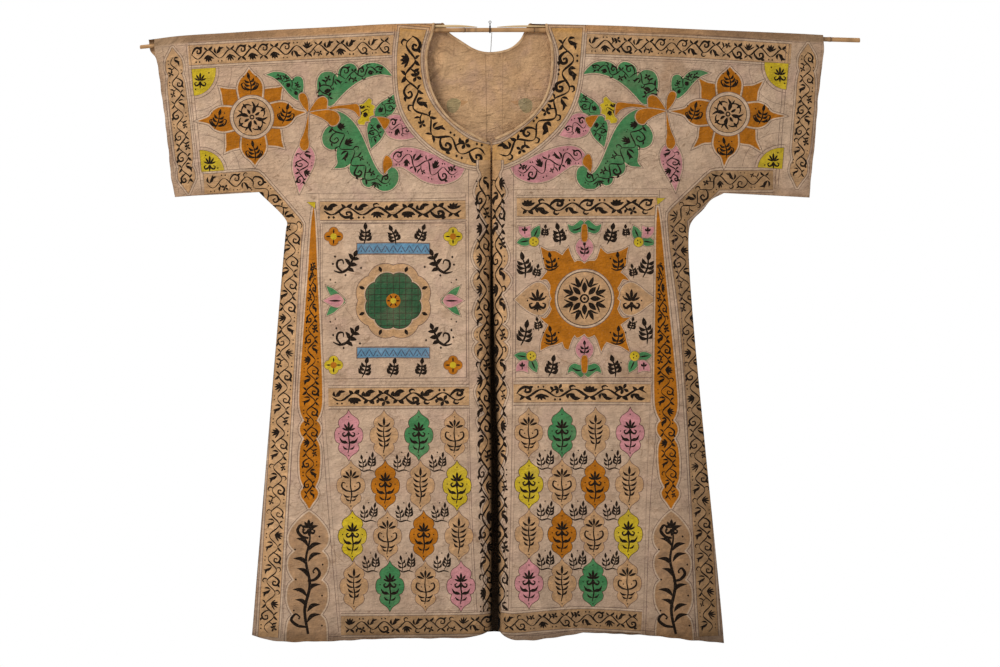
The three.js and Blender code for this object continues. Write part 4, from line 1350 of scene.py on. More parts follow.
def sprig(sheet, x, y, angle, length, weight, pairs=2, ink="ink", spread=0.9, bend=0.12, bud=True):
    """A small upright twig: a stem with pairs of leaves and one at its end."""
    c, s = math.cos(angle), math.sin(angle)

    def at(a, b):
        return (x + a * c - b * s, y + a * s + b * c)

    h = length / 2
    sheet.stroke([at(-h, -bend * length * 0.5), at(-h * 0.2, bend * length * 0.3), at(h * 0.55, 0)], weight * 0.62, ink, (0.35, 0.6), 0.4)
    for i in range(pairs):
        f = -0.62 + 1.05 * i / max(1, pairs - 0.0)
        size = length * (0.40 - 0.05 * i)
        for sign in (-1, 1):
            base = at(h * f, bend * length * 0.12)
            tip = at(h * f + size * math.cos(spread), sign * size * math.sin(spread))
            sheet.leaf(base, tip, weight * 1.15, 0.2 * sign, ink)
    if bud:
        sheet.leaf(at(h * 0.35, 0), at(h * 1.08, 0), weight * 1.45, 0, ink, 0.4)


def trio(sheet, x, y, size, weight, angle=-math.pi / 2):
    """Three small leaves from one point, and a short stalk."""
    for turn, reach in ((-0.8, 0.82), (0.0, 1.0), (0.8, 0.82)):
        a = angle + turn
        sheet.leaf((x, y), (x + math.cos(a) * size * reach, y + math.sin(a) * size * reach), weight * 1.5, 0.1 * turn, "ink", 0.55)
    sheet.leaf((x - math.cos(angle) * size * 0.7, y - math.sin(angle) * size * 0.7), (x + math.cos(angle) * size * 0.2, y + math.sin(angle) * size * 0.2), weight * 0.9)


def flourish(sheet, x, y, size, weight, flip=1, lean=0.0):
    """An open spray: a curved stalk with a curl, leaves along it and a bud at its end."""
    c, s = math.cos(lean), math.sin(lean)

    def at(a, b):
        a, b = a * size * flip, b * size
        return (x + a * c - b * s, y + a * s + b * c)

    sheet.stroke([at(-0.62, 0.38), at(-0.22, 0.50), at(0.20, 0.30), at(0.40, -0.06), at(0.62, -0.42)], weight, "ink", (0.35, 0.5), 0.45)
    sheet.stroke([at(-0.14, 0.46), at(-0.42, 0.16), at(-0.36, -0.18), at(-0.10, -0.22), at(-0.04, 0.02)], weight * 0.85, "ink", (0.7, 0.4), 0.4)
    for base, tip, wide, bend in (((0.14, 0.34), (0.56, 0.50), 1.5, -0.16), ((0.30, 0.14), (0.76, 0.10), 1.6, -0.14), ((0.28, 0.12), (0.02, -0.30), 1.4, 0.16),
                                  ((0.48, -0.20), (0.90, -0.24), 1.3, -0.12), ((0.46, -0.18), (0.26, -0.60), 1.4, 0.14), ((0.58, -0.36), (0.78, -0.78), 1.6, 0.0)):
        sheet.leaf(at(*base), at(*tip), weight * wide, bend * flip)
    for a, b in ((-0.66, -0.02), (-0.52, -0.44), (0.04, 0.66), (0.96, 0.28)):
        p = at(a, b)
        sheet.dot(p[0], p[1], weight * 0.46)


def palmette(sheet, x, y, size, weight, angle=-math.pi / 2, ink="ink", petals=5):
    """A fan of petals over a pair of curled leaves."""
    c, s = math.cos(angle), math.sin(angle)

    def at(a, b):
        return (x + a * c - b * s, y + a * s + b * c)

    for i in range(petals):
        f = (i - (petals - 1) / 2) / ((petals - 1) / 2)
        turn = f * 1.15
        reach = size * (0.92 - 0.22 * abs(f))
        sheet.leaf(at(-size * 0.12, f * size * 0.04), at(-size * 0.12 + reach * math.cos(turn), reach * math.sin(turn)), weight * (1.25 - 0.25 * abs(f)), 0, ink, 0.62)
    for sign in (-1, 1):
        sheet.stroke([at(-size * 0.18, 0), at(-size * 0.50, sign * size * 0.16), at(-size * 0.62, sign * size * 0.46),
                      at(-size * 0.36, sign * size * 0.58), at(-size * 0.26, sign * size * 0.36)], weight, ink, (0.7, 0.4), 0.35)
    sheet.leaf(at(-size * 0.2, 0), at(-size * 0.95, 0), weight * 1.0, 0, ink, 0.4)


def bordered(sheet, ring, ink, seed=0):
    """A gold field with its pencil line, pale line and outer pencil line."""
    sheet.ring(offset(ring, 3.0), "pencil")
    sheet.ring(offset(ring, 2.45), "cream")
    sheet.ring(offset(ring, 0.55), "pencil")
    sheet.ring(ring, ink)


# =====================================================================================
# The ornaments of the fronts
# =====================================================================================


def rosette(sheet, cx, cy, tips, points, seed):
    """Roundel with four ogee petals and four pointed ones between them."""
    for tx, ty in points:
        dx, dy = tx - cx, ty - cy
        r = math.hypot(dx, dy)
        ux, uy = dx / r, dy / r
        nx, ny = -uy, ux

        def at(a, b):
            return (cx + ux * a + nx * b, cy + uy * a + ny * b)

        ring = spline([at(10, -10), at(19, -12.4), at(27, -11.6), at(33, -7.6), at(37.5, -3.8), at(r + 0.8, 0), at(37.5, 3.8), at(33, 7.6), at(27, 11.6), at(19, 12.4), at(10, 10)], 1.6, closed=True, corners=(5,))
        sheet.blob(ring, "orange", 1.5, 0.6)
    for tx, ty in tips:
        dx, dy = tx - cx, ty - cy
        r = math.hypot(dx, dy)
        ux, uy = dx / r, dy / r
        nx, ny = -uy, ux

        def at(a, b):
            return (cx + ux * a + nx * b, cy + uy * a + ny * b)

        ring = spline([at(12, -9), at(20, -11.2), at(31, -12.2), at(38, -9.2), at(43, -3.8), at(r, 0), at(43, 3.8), at(38, 9.2),
                       at(31, 12.2), at(20, 11.2), at(12, 9)], 1.6, closed=True, corners=(5,))
        sheet.blob(ring, "orange", 1.5, 0.6)
    for i, (tx, ty) in enumerate(tips):
        angle = math.atan2(ty - cy, tx - cx)
        x, y = cx + math.cos(angle) * 34, cy + math.sin(angle) * 34
        lean = -math.pi / 2 + (0.25 if i % 2 else -0.2)
        sprig(sheet, x, y, lean, 21, 2.2, 3)
        for sign in (-1, 1):
            sheet.stroke([(x + sign * 1.5, y + 7), (x + sign * 6.4, y + 5.4), (x + sign * 8.2, y + 0.6), (x + sign * 5.4, y - 0.4)], 1.6, "ink", (0.5, 0.4))
            sheet.dot(x + sign * 6.4, y - 6.5, 0.8)
    sheet.ring(circle(cx, cy, 22.4), "pencil")
    sheet.ring(circle(cx, cy, 21.7), "cream")
    sheet.ring(circle(cx, cy, 18.9), "ink_brown")
    sheet.ring(circle(cx, cy, 18.2), "tan")
    rnd = random.Random(seed)
    for q in range(8):
        a = q * math.pi / 4 + 0.2
        c, s = math.cos(a), math.sin(a)
        reach = 13.5 if q % 2 == 0 else 9.5
        sheet.leaf((cx + c * 3.2, cy + s * 3.2), (cx + c * reach, cy + s * reach), 4.0 if q % 2 == 0 else 2.8, 0.06)
        if q % 2 == 0:
            for d in (-0.24, 0.24):
                sheet.leaf((cx + c * 9, cy + s * 9), (cx + math.cos(a + d) * 16.0, cy + math.sin(a + d) * 16.0), 2.0, 0.14)
    for q in range(4):
        a = q * math.pi / 2 + 0.98
        sheet.stroke([(cx + math.cos(a + d) * (13.8 - 9.0 * d * d), cy + math.sin(a + d) * (13.8 - 9.0 * d * d)) for d in np.linspace(-0.55, 0.55, 7)], 1.8, "ink", (0.4, 0.4))
        sheet.leaf((cx + math.cos(a) * 10.0, cy + math.sin(a) * 10.0), (cx + math.cos(a) * 16.6, cy + math.sin(a) * 16.6), 2.5)
    sheet.ring(circle(cx, cy, 2.6), "ink")
    sheet.ring(circle(cx, cy, 1.2), "tan")


def twigs(sheet, ring_line, count, size, weight, seed, tilt=0.0):
    """Small twigs set along a line inside a leaf or bud."""
    rnd = random.Random(seed)
    band = Ribbon(ring_line)
    for i in range(count):
        t = band.length * (i + 0.5) / count
        p = band.at(t, rnd.uniform(-0.6, 0.6))
        q = band.at(min(t + 2, band.length), 0)
        angle = math.atan2(q[1] - p[1], q[0] - p[0])
        sprig(sheet, p[0], p[1], -math.pi / 2 + tilt + rnd.uniform(-0.25, 0.25), size * rnd.uniform(0.85, 1.1), weight, 2)


def spray(sheet, mirrored):
    """The leaf spray between a rosette and the neck, drawn for the viewer's left."""
    if mirrored:
        sheet.turn = lambda p: np.stack([975 - p[:, 0], p[:, 1] - 1.6], -1)
    blob = sheet.blob

    # fine dark vines in the leaves and buds
    def inner(points, halves, pitch, weight, seed):
        band = Ribbon(points)
        places = np.linspace(0, band.length, len(halves))
        vine(sheet, band, 0.5, band.length - 0.5, lambda t: np.interp(t, places, halves), pitch, weight, seed)

    # bud hanging under the node
    bud = spline([(300.5, 146), (309, 146.4), (314.4, 154), (314.2, 163), (309.4, 174), (303.4, 184.6), (299.4, 192.6), (296.4, 182), (293, 170), (293.2, 160), (296, 152)],
                 1.6, closed=True, corners=(6,))
    blob(bud, "pink", 1.0, 0.55)
    # small leaf up to the left
    small = spline([(266, 74.6), (274, 71.8), (284, 72.8), (288.6, 76), (291.6, 80), (296.6, 76.2), (301.6, 77.6), (303.6, 84), (302.6, 93), (298.6, 100), (290, 94.6), (282.6, 85.6), (275, 78.4)],
                   1.6, closed=True, corners=(0, 4))
    blob(small, "green", 0.9, 0.55)
    # upper big leaf: three lobes along its back
    upper = spline([(329, 106), (320.6, 100), (317.4, 90), (317.8, 79), (322, 73), (330, 71.6), (335, 74), (337.8, 77.4), (339, 70), (344.6, 64.8), (351.4, 63.4), (356, 66.4), (357.6, 70.6),
                    (362.6, 65.2), (371, 62.8), (380.4, 64.4), (387.6, 70), (392, 75.8), (380.4, 74.4), (369, 76.8), (357.6, 82), (347.6, 89.4), (339.4, 97.6), (333, 104.6)],
                   1.6, closed=True, corners=(7, 12, 17))
    blob(upper, "green", 1.0, 0.55)
    # lower big leaf: lobed on the outer side, a barb, then the hook
    lower = spline([(333, 111), (341.6, 112.6), (350.6, 119), (358.4, 129), (364.4, 141), (369.4, 153), (374.6, 164.6), (380, 173), (384.6, 176.4), (387.4, 173.6), (388, 169.6), (391.6, 167.6),
                    (396.4, 169.6), (398.6, 176), (396.6, 184), (390.4, 189.8), (381.6, 190.6), (375, 186.6), (372.4, 184.6), (369.6, 187), (364.6, 185.6), (362, 181.4), (362.4, 177.6),
                    (357.4, 177.6), (351.4, 174), (349.4, 168), (350.6, 163.6), (344.4, 167.4), (334, 168.4), (337.4, 163.4), (336.4, 155), (337, 149), (330.6, 149.4), (324, 145),
                    (322.2, 137), (325.4, 129.4), (330.4, 124)],
                   1.6, closed=True, corners=(8, 18, 22, 26, 28, 31))
    blob(lower, "green", 1.0, 0.55)
    # two small leaves at the third bud
    leaf_a = spline([(375.6, 118), (375.4, 109.6), (380.4, 103), (388.4, 98), (396.6, 92.4), (397.2, 102), (394.2, 110.6), (388.4, 116.6), (381, 118.8)], 1.6, closed=True, corners=(4,))
    leaf_b = spline([(373.6, 117.4), (381.4, 121.6), (384.6, 129), (381.6, 138), (370.8, 148.8), (368.4, 139), (367.2, 128), (369.6, 121)], 1.6, closed=True, corners=(4,))
    blob(leaf_a, "green", 0.9, 0.55)
    blob(leaf_b, "green", 0.9, 0.55)
    # pink bud and the large pink leaf by the neck
    pink = spline([(384.4, 122), (389, 116.6), (397, 114.8), (404.4, 118.6), (409.6, 128), (415.6, 136.8), (405, 139.4), (394.6, 138.6), (387.4, 134.6)], 1.6, closed=True, corners=(5,))
    blob(pink, "pink", 0.9, 0.55)
    large = spline([(388.6, 160), (392.6, 152.4), (400.4, 148), (412, 147.8), (426, 151.6), (440, 157.4), (452.6, 164.4), (464.6, 168.6), (460, 176.6), (450, 182.4), (437.6, 184.2), (424, 180.8),
                    (412.6, 173.4), (402.4, 167), (391.6, 166)], 1.6, closed=True, corners=(7,))
    blob(large, "pink", 0.9, 0.55)

    inner([(299.5, 95), (294, 86), (285, 80), (275, 75.8)], [3.6, 6.4, 5.0, 2.2], 6.6, 1.5, 61)
    inner([(327, 102), (324, 88), (333, 80.4), (345, 74.6), (357, 75.4), (370, 69.6), (384, 70.4)], [6.4, 8.6, 7.4, 9.0, 6.6, 5.8, 2.6], 8.4, 1.75, 62)
    inner([(336, 122), (338, 134), (345, 146), (354, 159), (365, 173), (379, 182.6), (391, 178)], [8.0, 11.4, 10.6, 11.4, 9.4, 6.8, 5.0], 9.6, 1.85, 63)
    inner([(380, 114.6), (387, 107), (394.4, 97)], [5.4, 7.0, 2.2], 6.8, 1.5, 64)
    inner([(375.6, 123), (375.6, 132), (371.8, 143)], [5.4, 7.0, 2.4], 6.8, 1.5, 65)
    inner([(388, 125), (397, 127), (409, 134)], [7.4, 9.0, 2.8], 7.4, 1.6, 66)
    inner([(393, 158.6), (407, 158.4), (423, 165), (440, 171.6), (458, 171.4)], [6.6, 9.4, 11.4, 10.4, 3.8], 9.4, 1.85, 67)
    inner([(304, 151), (304, 161), (303, 173), (300, 185)], [7.4, 9.4, 7.8, 2.6], 8.6, 1.7, 68)

    cap = spline([(376.6, 117), (384, 117.4), (389.6, 119.8), (388, 125.4), (384.4, 129), (380.4, 123)], 1.4, closed=True, corners=(0,))
    blob(cap, "orange", 0.4, 0.45)
    cap = spline([(386.4, 155.4), (391.4, 159.6), (392, 165.6), (388, 169.4), (384.4, 174), (382.8, 166.6), (383.6, 159.6)], 1.4, closed=True, corners=(4,))
    blob(cap, "orange", 0.4, 0.45)
    # trumpet
    horn = spline([(356, 105.6), (363, 103.8), (368.8, 98), (371.6, 100), (371.2, 104), (375, 106.4), (373.4, 110), (374, 115), (369.6, 117), (369.6, 121.4), (365.6, 121.6), (364.4, 124.8), (358.6, 124),
                   (357.6, 120.6), (360.4, 117.4), (357.6, 111)], 1.4, closed=True, corners=(2, 4, 7, 9, 11, 13))
    blob(horn, "yellow", 0.6, 0.5)
    inner([(359, 108), (364.6, 111), (369.6, 113)], [3.0, 7.0, 5.4], 5.4, 1.5, 69)
    stem = spline([(326, 109.4), (334, 106.2), (345, 105), (357.6, 104.4), (359.6, 110), (359.4, 117), (354.4, 111.4), (345, 108.4), (334, 109)], 1.5, closed=True, corners=(0,))
    blob(stem, "orange", 0.5, 0.5)
    # clubs at the node
    for pts in ([(308.4, 112.6), (302.8, 106), (299.4, 99), (299.6, 94.4), (303.4, 93), (306.8, 96.6), (308.4, 104)],
                [(308.4, 112.6), (313, 105), (318.4, 98.4), (323.6, 96.8), (327, 99.6), (327, 105.6), (326.6, 109), (317, 110.8)],
                [(308.4, 112.6), (319, 110.6), (330, 110), (337, 112.6), (339.6, 118.4), (336.6, 124.4), (331.4, 125.6), (327, 121.4), (319, 116.6)],
                [(308.4, 112.6), (308.6, 124), (308, 136), (309, 143), (307.4, 149), (303.6, 150.4), (300, 146.4), (300.2, 141), (303.4, 134), (306.4, 123)]):
        blob(spline(pts, 1.5, closed=True, corners=(0,)), "orange", 0.6, 0.5)
    sheet.turn = None


def corner_fan(sheet, x, y, rx, ry, sx, sy, seed, lean=0.0):
    """A yellow quarter disc in a corner with a pencil arc round it."""
    a0, a1 = (0 if sx > 0 else math.pi), (math.pi / 2 if sy > 0 else -math.pi / 2)
    if sx < 0 and sy < 0:
        a1 = 3 * math.pi / 2
    if sx > 0 and sy < 0:
        a0, a1 = 0, -math.pi / 2
    if sx < 0 and sy > 0:
        a0, a1 = math.pi, math.pi / 2

    def shear(p):
        q = p.copy()
        q[:, 0] = q[:, 0] + (q[:, 1] - y) * lean
        q[:, 1] = q[:, 1] - (q[:, 0] - x) * 0.06 * (1 if sx > 0 else -1)
        return q

    for grow, ink in ((15.5, "pencil_faint"), (3.2, "pencil")):
        line = shear(arc(x, y, rx + grow, ry + grow, a0, a1, 2.4))
        sheet.ring(tube(line, np.full(len(line), 0.55)), ink)
    quarter = np.concatenate([[(x, y)], arc(x, y, rx, ry, a0, a1)])
    quarter = shear(quarter)
    sheet.ring(offset(quarter, 0.45), "pencil")
    sheet.ring(quarter, "yellow")
    cx, cy = x + sx * rx * 0.36, y + sy * ry * 0.40
    palmette(sheet, cx, cy, 9.5, 1.8)
    for dx, dy in ((sx * rx * 0.72, sy * 3.6), (sx * 4, sy * ry * 0.76)):
        sheet.dot(x + dx, y + dy, 0.9)


LOZENGE = [(0, -25), (1.9, -21.6), (5.2, -18.8), (8.8, -16.2), (10.2, -12.2), (8.7, -8.2), (12.0, -6.6), (13.8, -2.6), (13.8, 2.6), (12.0, 6.6), (8.7, 8.2), (10.2, 12.2), (8.8, 16.2), (5.2, 18.8), (1.9, 21.6), (0, 25)]


def lozenge(sheet, x, y, ink, seed, tall=1.0):
    half = [(a, b * tall) for a, b in LOZENGE]
    ring = half + [(-a, b) for a, b in half[-2:0:-1]]
    n = len(half)
    corners = (0, 5, 10, n - 1, n + 4, n + 9)
    ring = spline([(x + a, y + b) for a, b in ring], 1.7, closed=True, corners=corners)
    sheet.ring(offset(ring, 0.6), "ink_brown" if ink in ("green", "orange", "yellow", "pink") else "pencil")
    sheet.ring(ring, ink)
    rnd = random.Random(seed)
    # a flower on a stalk, different in each
    kind = seed % 4
    sheet.stroke([(x - 0.8, y + 18), (x + 0.8, y + 9), (x - 0.5, y - 1), (x, y - 9)], 1.5, "ink", (0.5, 0.5), 0.4)
    if kind in (0, 2):
        palmette(sheet, x, y - 5.5, 10.4, 2.1)
        for sign in (-1, 1):
            sheet.leaf((x, y + 8), (x + sign * 9.4, y + 1.6), 2.5, 0.2 * sign)
            sheet.leaf((x, y + 8.6), (x + sign * 8.8, y + 7.2), 2.0, -0.2 * sign)
            sheet.leaf((x, y + 14), (x + sign * 6.0, y + 10.2), 1.9, 0.2 * sign)
            sheet.dot(x + sign * 9.8, y - 1.6, 0.75)
    elif kind == 1:
        for a in range(5):
            t = -math.pi / 2 + (a - 2) * 0.62
            sheet.leaf((x + math.cos(t) * 1.2, y - 7 + math.sin(t) * 1.2), (x + math.cos(t) * 9.4, y - 7 + math.sin(t) * 9.4), 2.5, 0, "ink", 0.6)
        for sign in (-1, 1):
            sheet.stroke([(x, y + 6), (x + sign * 5, y + 4.8), (x + sign * 9.0, y + 1.2), (x + sign * 8.2, y - 3.2), (x + sign * 5.2, y - 2.4)], 1.9, "ink", (0.5, 0.4), 0.4)
            sheet.leaf((x, y + 11), (x + sign * 8.0, y + 8.0), 2.1, 0.2 * sign)
            sheet.leaf((x, y + 15), (x + sign * 5.4, y + 12.0), 1.8, 0.2 * sign)
            sheet.dot(x + sign * 4.0, y + 0.6, 0.75)
    else:
        for f in (-8.6, -3.6, 1.4, 6.4, 11.4):
            size = 8.4 - abs(f + 1) * 0.26
            for sign in (-1, 1):
                sheet.leaf((x, y + f), (x + sign * size, y + f - 4.6), 2.2, 0.16 * sign)
        sheet.leaf((x, y - 9), (x, y - 18.5), 2.8)
    sheet.dot(x, y + 20.4, 0.8)
    if kind != 3:
        sheet.dot(x, y - 18.4, 0.8)


def quatrefoil(sheet, x, y, r, ink="orange", eye="yellow"):
    for q in range(4):
        a = q * math.pi / 2
        sheet.ring(offset(circle(x + math.cos(a) * r * 0.52, y + math.sin(a) * r * 0.52, r * 0.52), 0.5), "pencil")
    for q in range(4):
        a = q * math.pi / 2
        sheet.ring(circle(x + math.cos(a) * r * 0.52, y + math.sin(a) * r * 0.52, r * 0.52), ink)
    sheet.ring(circle(x, y, r * 0.36), eye)
    for q in range(4):
        a = q * math.pi / 2
        sheet.leaf((x + math.cos(a) * r * 0.3, y + math.sin(a) * r * 0.3), (x + math.cos(a) * r * 0.86, y + math.sin(a) * r * 0.86), 1.6)


def zigzag(sheet, x0, x1, y0, y1, count):
    sheet.ring([(x0 - 1, y0 - 1), (x1 + 1, y0 - 1), (x1 + 1, y1 + 1), (x0 - 1, y1 + 1)], "pencil")
    sheet.ring([(x0, y0), (x1, y0), (x1, y1), (x0, y1)], "blue")
    pts = []
    for i in range(2 * count + 1):
        pts.append((x0 + (x1 - x0) * i / (2 * count), y0 + 1.6 if i % 2 else y1 - 1.6))
    sheet.line(pts, 1.0, "blue_line", 3.0)
    for i in range(count):
        x = x0 + (x1 - x0) * (i + 0.5) / count
        sheet.dot(x, y1 - 2.6, 0.9, "blue_line")


def medallion_panel(sheet, x0, y0, x1, y1, seed):
    """A picture field: gridded octofoil between blue bands, flowers in the corners."""
    cx, cy = (x0 + x1) / 2, (y0 + y1) / 2
    w, h = x1 - x0, y1 - y0
    # blue bands above and below
    zigzag(sheet, cx - 36, cx + 36, cy - 57, cy - 47, 9)
    zigzag(sheet, cx - 36, cx + 36, cy + 47, cy + 57, 9)
    # tan collar of the medallion
    big = []
    for i in range(160):
        a = i * 2 * math.pi / 160
        r = 35 + 3.6 * abs(math.sin(4 * a)) ** 0.8
        big.append((cx + r * math.cos(a), cy + r * math.sin(a)))
    sheet.ring(offset(big, 0.7), "pencil")
    sheet.ring(big, "tan")
    inner = []
    for i in range(160):
        a = i * 2 * math.pi / 160
        r = 25.5 + 3.4 * abs(math.sin(4 * a)) ** 0.7
        inner.append((cx + r * math.cos(a), cy + r * math.sin(a)))
    sheet.ring(offset(inner, 1.6), "cream")
    sheet.ring(offset(inner, 0.7), "ink_brown")
    sheet.ring(inner, "green_dark")
    ring = np.array(inner)
    for k in range(-4, 5):
        # a lattice laid over the green
        for axis in (0, 1):
            line = np.linspace(-30, 30, 41)
            p = np.stack([cx + line, np.full(41, cy + k * 6.2)], -1) if axis else np.stack([np.full(41, cx + k * 6.2), cy + line], -1)
            ok = inside(p, ring * 0.985 + np.array([cx, cy]) * 0.015)
            if ok.sum() > 2:
                q = p[ok]
                sheet.ring(tube(q, np.full(len(q), 0.7)), "green_line")
    for q in range(8):
        a = q * math.pi / 4 + math.pi / 8
        c, s = math.cos(a), math.sin(a)
        sheet.leaf((cx + c * 30.8, cy + s * 30.8), (cx + c * 37.2, cy + s * 37.2), 3.6)
    sheet.ring(circle(cx, cy, 7.2), "orange")
    sheet.ring(circle(cx, cy, 3.0), "yellow")
    for q in range(6):
        a = q * math.pi / 3
        sheet.leaf((cx + math.cos(a) * 2.6, cy + math.sin(a) * 2.6), (cx + math.cos(a) * 6.6, cy + math.sin(a) * 6.6), 1.5)
    # buds to the sides with their leaf pairs
    for sign in (-1, 1):
        bx = cx + sign * 55
        for t in (-1, 1):
            leaf = spline([(bx - sign * 7, cy + t * 1), (bx - sign * 2, cy + t * 6), (bx + sign * 5, cy + t * 12), (bx + sign * 12, cy + t * 15), (bx + sign * 8, cy + t * 6), (bx, cy + t * 1)],
                          1.5, closed=True, corners=(3,))
            sheet.blob(leaf, "green", 0.6, 0.5)
        bud = spline([(bx - sign * 5, cy), (bx, cy - 6), (bx + sign * 6, cy - 5), (bx + sign * 15, cy), (bx + sign * 6, cy + 5), (bx, cy + 6)], 1.4, closed=True, corners=(3,))
        sheet.blob(bud, "pink", 0.6, 0.5)
        sheet.leaf((bx - sign * 3, cy), (bx + sign * 10, cy), 2.0)
        for t in (-1, 1):
            sheet.dot(bx + sign * 8, cy + t * 21, 1.0)
            sheet.dot(bx + sign * 3, cy + t * 18.4, 0.8)
    # corners
    for sx in (-1, 1):
        for sy in (-1, 1):
            quatrefoil(sheet, cx + sx * (w / 2 - 13), cy + sy * (h / 2 - 13), 9.0, "orange" if sx * sy > 0 else "yellow", "yellow" if sx * sy > 0 else "orange")
    # dark twigs where the ground is open
    rnd = random.Random(seed)
    for dx, dy in ((-28, -67), (28, -67), (-28, 67), (28, 67), (0, -66), (0, 67)):
        sprig(sheet, cx + dx, cy + dy, -math.pi / 2 + rnd.uniform(-0.4, 0.4), rnd.uniform(19, 22), 2.9, 3)
    for dx, dy, flip in ((-49, -37, 1), (49, -37, -1), (-49, 36, 1), (49, 36, -1)):
        flourish(sheet, cx + dx, cy + dy, rnd.uniform(16.5, 18.0), 2.8, flip, rnd.uniform(-0.12, 0.12))


def sun_panel(sheet, cx, cy, seed):
    """Sun: a roundel in a flaming star, buds at its four sides, flowers in the corners."""
    rnd = random.Random(seed)
    # drops to the sides, buds above and below
    for sign, reach in ((-1, 69.5), (1, 72.0)):
        ring = spline([(cx + sign * a, cy + b) for a, b in ((reach, 1), (62, -6), (54.5, -12.4), (47, -16.0), (40, -13.4), (35.6, -6), (34.6, 1), (36.4, 9), (41, 15.2), (48, 16.2), (56, 12.4), (63, 7.0))],
                      1.6, closed=True, corners=(0,))
        sheet.blob(ring, "tan", 1.0, 0.55)
        palmette(sheet, cx + sign * 47, cy + 1, 13.5, 2.6)
        sheet.leaf((cx + sign * 47, cy + 6), (cx + sign * 42.4, cy + 11.6), 2.4, 0.2)
        sheet.leaf((cx + sign * 47, cy + 6), (cx + sign * 51.6, cy + 11.6), 2.4, -0.2)
        sheet.dot(cx + sign * 57, cy + 2, 1.0)
        sheet.dot(cx + sign * 38.6, cy - 2, 0.9)
    for sign in (-1, 1):
        for t in (-1, 1):
            leaf = spline([(cx, cy + sign * 64), (cx + t * 4.6, cy + sign * 66.4), (cx + t * 10, cy + sign * 64.8), (cx + t * 15, cy + sign * 68), (cx + t * 17, cy + sign * 74.6), (cx + t * 12, cy + sign * 72.8),
                           (cx + t * 8, cy + sign * 75.4), (cx + t * 3.6, cy + sign * 78.6), (cx, cy + sign * 76)], 1.5, closed=True, corners=(0, 4, 8))
            sheet.blob(leaf, "green", 0.6, 0.5)
            sheet.leaf((cx + t * 2.6, cy + sign * 72), (cx + t * 13, cy + sign * 68.6), 1.8, 0.12 * t)
        bud = spline([(cx, cy + sign * 60.5), (cx - 5.2, cy + sign * 58.6), (cx - 8.6, cy + sign * 53), (cx - 8.0, cy + sign * 47), (cx - 4.0, cy + sign * 41.5), (cx, cy + sign * 35.5), (cx + 4.0, cy + sign * 41.5),
                      (cx + 8.0, cy + sign * 47), (cx + 8.6, cy + sign * 53), (cx + 5.2, cy + sign * 58.6)], 1.5, closed=True, corners=(5,))
        sheet.blob(bud, "pink", 0.7, 0.5)
        sprig(sheet, cx, cy + sign * 49.6, -math.pi / 2, 15, 2.1, 2)
        for t in (-1, 1):
            sheet.dot(cx + t * 5.6, cy + sign * 51, 0.7)
        stem = spline([(cx - 1.6, cy + sign * 57), (cx - 3.2, cy + sign * 61), (cx - 3.0, cy + sign * 67), (cx - 1.6, cy + sign * 74), (cx + 1.6, cy + sign * 74), (cx + 3.0, cy + sign * 67), (cx + 3.2, cy + sign * 61), (cx + 1.6, cy + sign * 57)],
                      1.5, closed=True)
        sheet.blob(stem, "orange", 0.3, 0.45)
    # one quarter of the star, from its upright to its level axis: lobes, a barb, the great tip, a barb, lobes
    quarter = [(0, 35.6), (3.4, 38.0), (7.4, 38.4), (10.0, 37.0), (12.6, 41.0), (14.4, 46.0), (16.4, 52.0), (19.4, 48.4), (22.4, 44.0), (29.0, 46.6), (36.4, 48.4), (44.6, 52.6),
               (42.6, 43.4), (40.6, 34.0), (36.6, 26.6), (41.6, 22.8), (45.4, 18.2), (39.0, 19.4), (35.0, 14.4), (33.4, 10.4), (35.2, 6.0), (34.6, 2.4), (33.4, 0)]
    sharp = (0, 3, 6, 8, 11, 14, 16, 19)
    path, corners = [], []
    for sx, sy, back in ((1, -1, False), (1, 1, True), (-1, 1, False), (-1, -1, True)):
        order = list(range(len(quarter)))
        if back:
            order = order[::-1]
        for k in order[:-1]:
            x, y = quarter[k]
            if k in sharp:
                corners.append(len(path))
            wry = 1 + (0.02 if (k * 7 + sx + 2 * sy) % 5 == 0 else -0.015)
            path.append((cx + sx * x * wry, cy + sy * y * wry))
    sheet.blob(spline(path, 1.5, closed=True, corners=tuple(corners)), "orange", 0.8, 0.5)
    for sx in (-1, 1):
        for sy in (-1, 1):
            x, y = cx + sx * 33.5, cy + sy * 37
            sprig(sheet, x, y, -math.pi / 2 + rnd.uniform(-0.2, 0.2), 19, 2.6, 2)
            sheet.stroke([(x - 7, y + 6.6), (x - 2, y + 8.6), (x + 4, y + 7.2), (x + 7.6, y + 4)], 1.7, "ink", (0.3, 0.4))
            for sign in (-1, 1):
                sheet.dot(x + sign * 7.6, y - 3, 1.0)
    sheet.ring(circle(cx, cy, 29.9), "pencil")
    sheet.ring(circle(cx, cy, 29.2), "cream")
    sheet.ring(circle(cx, cy, 27.4), "ink_brown")
    sheet.ring(circle(cx, cy, 26.5), "tan")
    for q in range(8):
        a = q * math.pi / 4
        c, s = math.cos(a), math.sin(a)
        sheet.leaf((cx + c * 5.5, cy + s * 5.5), (cx + c * 16.5, cy + s * 16.5), 5.4, 0.0)
        a += math.pi / 8
        c, s = math.cos(a), math.sin(a)
        sheet.leaf((cx + c * 12, cy + s * 12), (cx + c * 23.6, cy + s * 23.6), 4.2)
        for d in (-0.16, 0.16):
            sheet.stroke([(cx + math.cos(a + d * 0.4) * 12.5, cy + math.sin(a + d * 0.4) * 12.5), (cx + math.cos(a + d * 1.4) * 17, cy + math.sin(a + d * 1.4) * 17),
                          (cx + math.cos(a + d * 2.2) * 20.5, cy + math.sin(a + d * 2.2) * 20.5)], 1.8, "ink", (0.6, 0.3))
    sheet.ring(circle(cx, cy, 4.8), "ink")
    sheet.ring(circle(cx, cy, 3.0), "tan")
    sheet.ring(circle(cx, cy, 1.5), "ink")


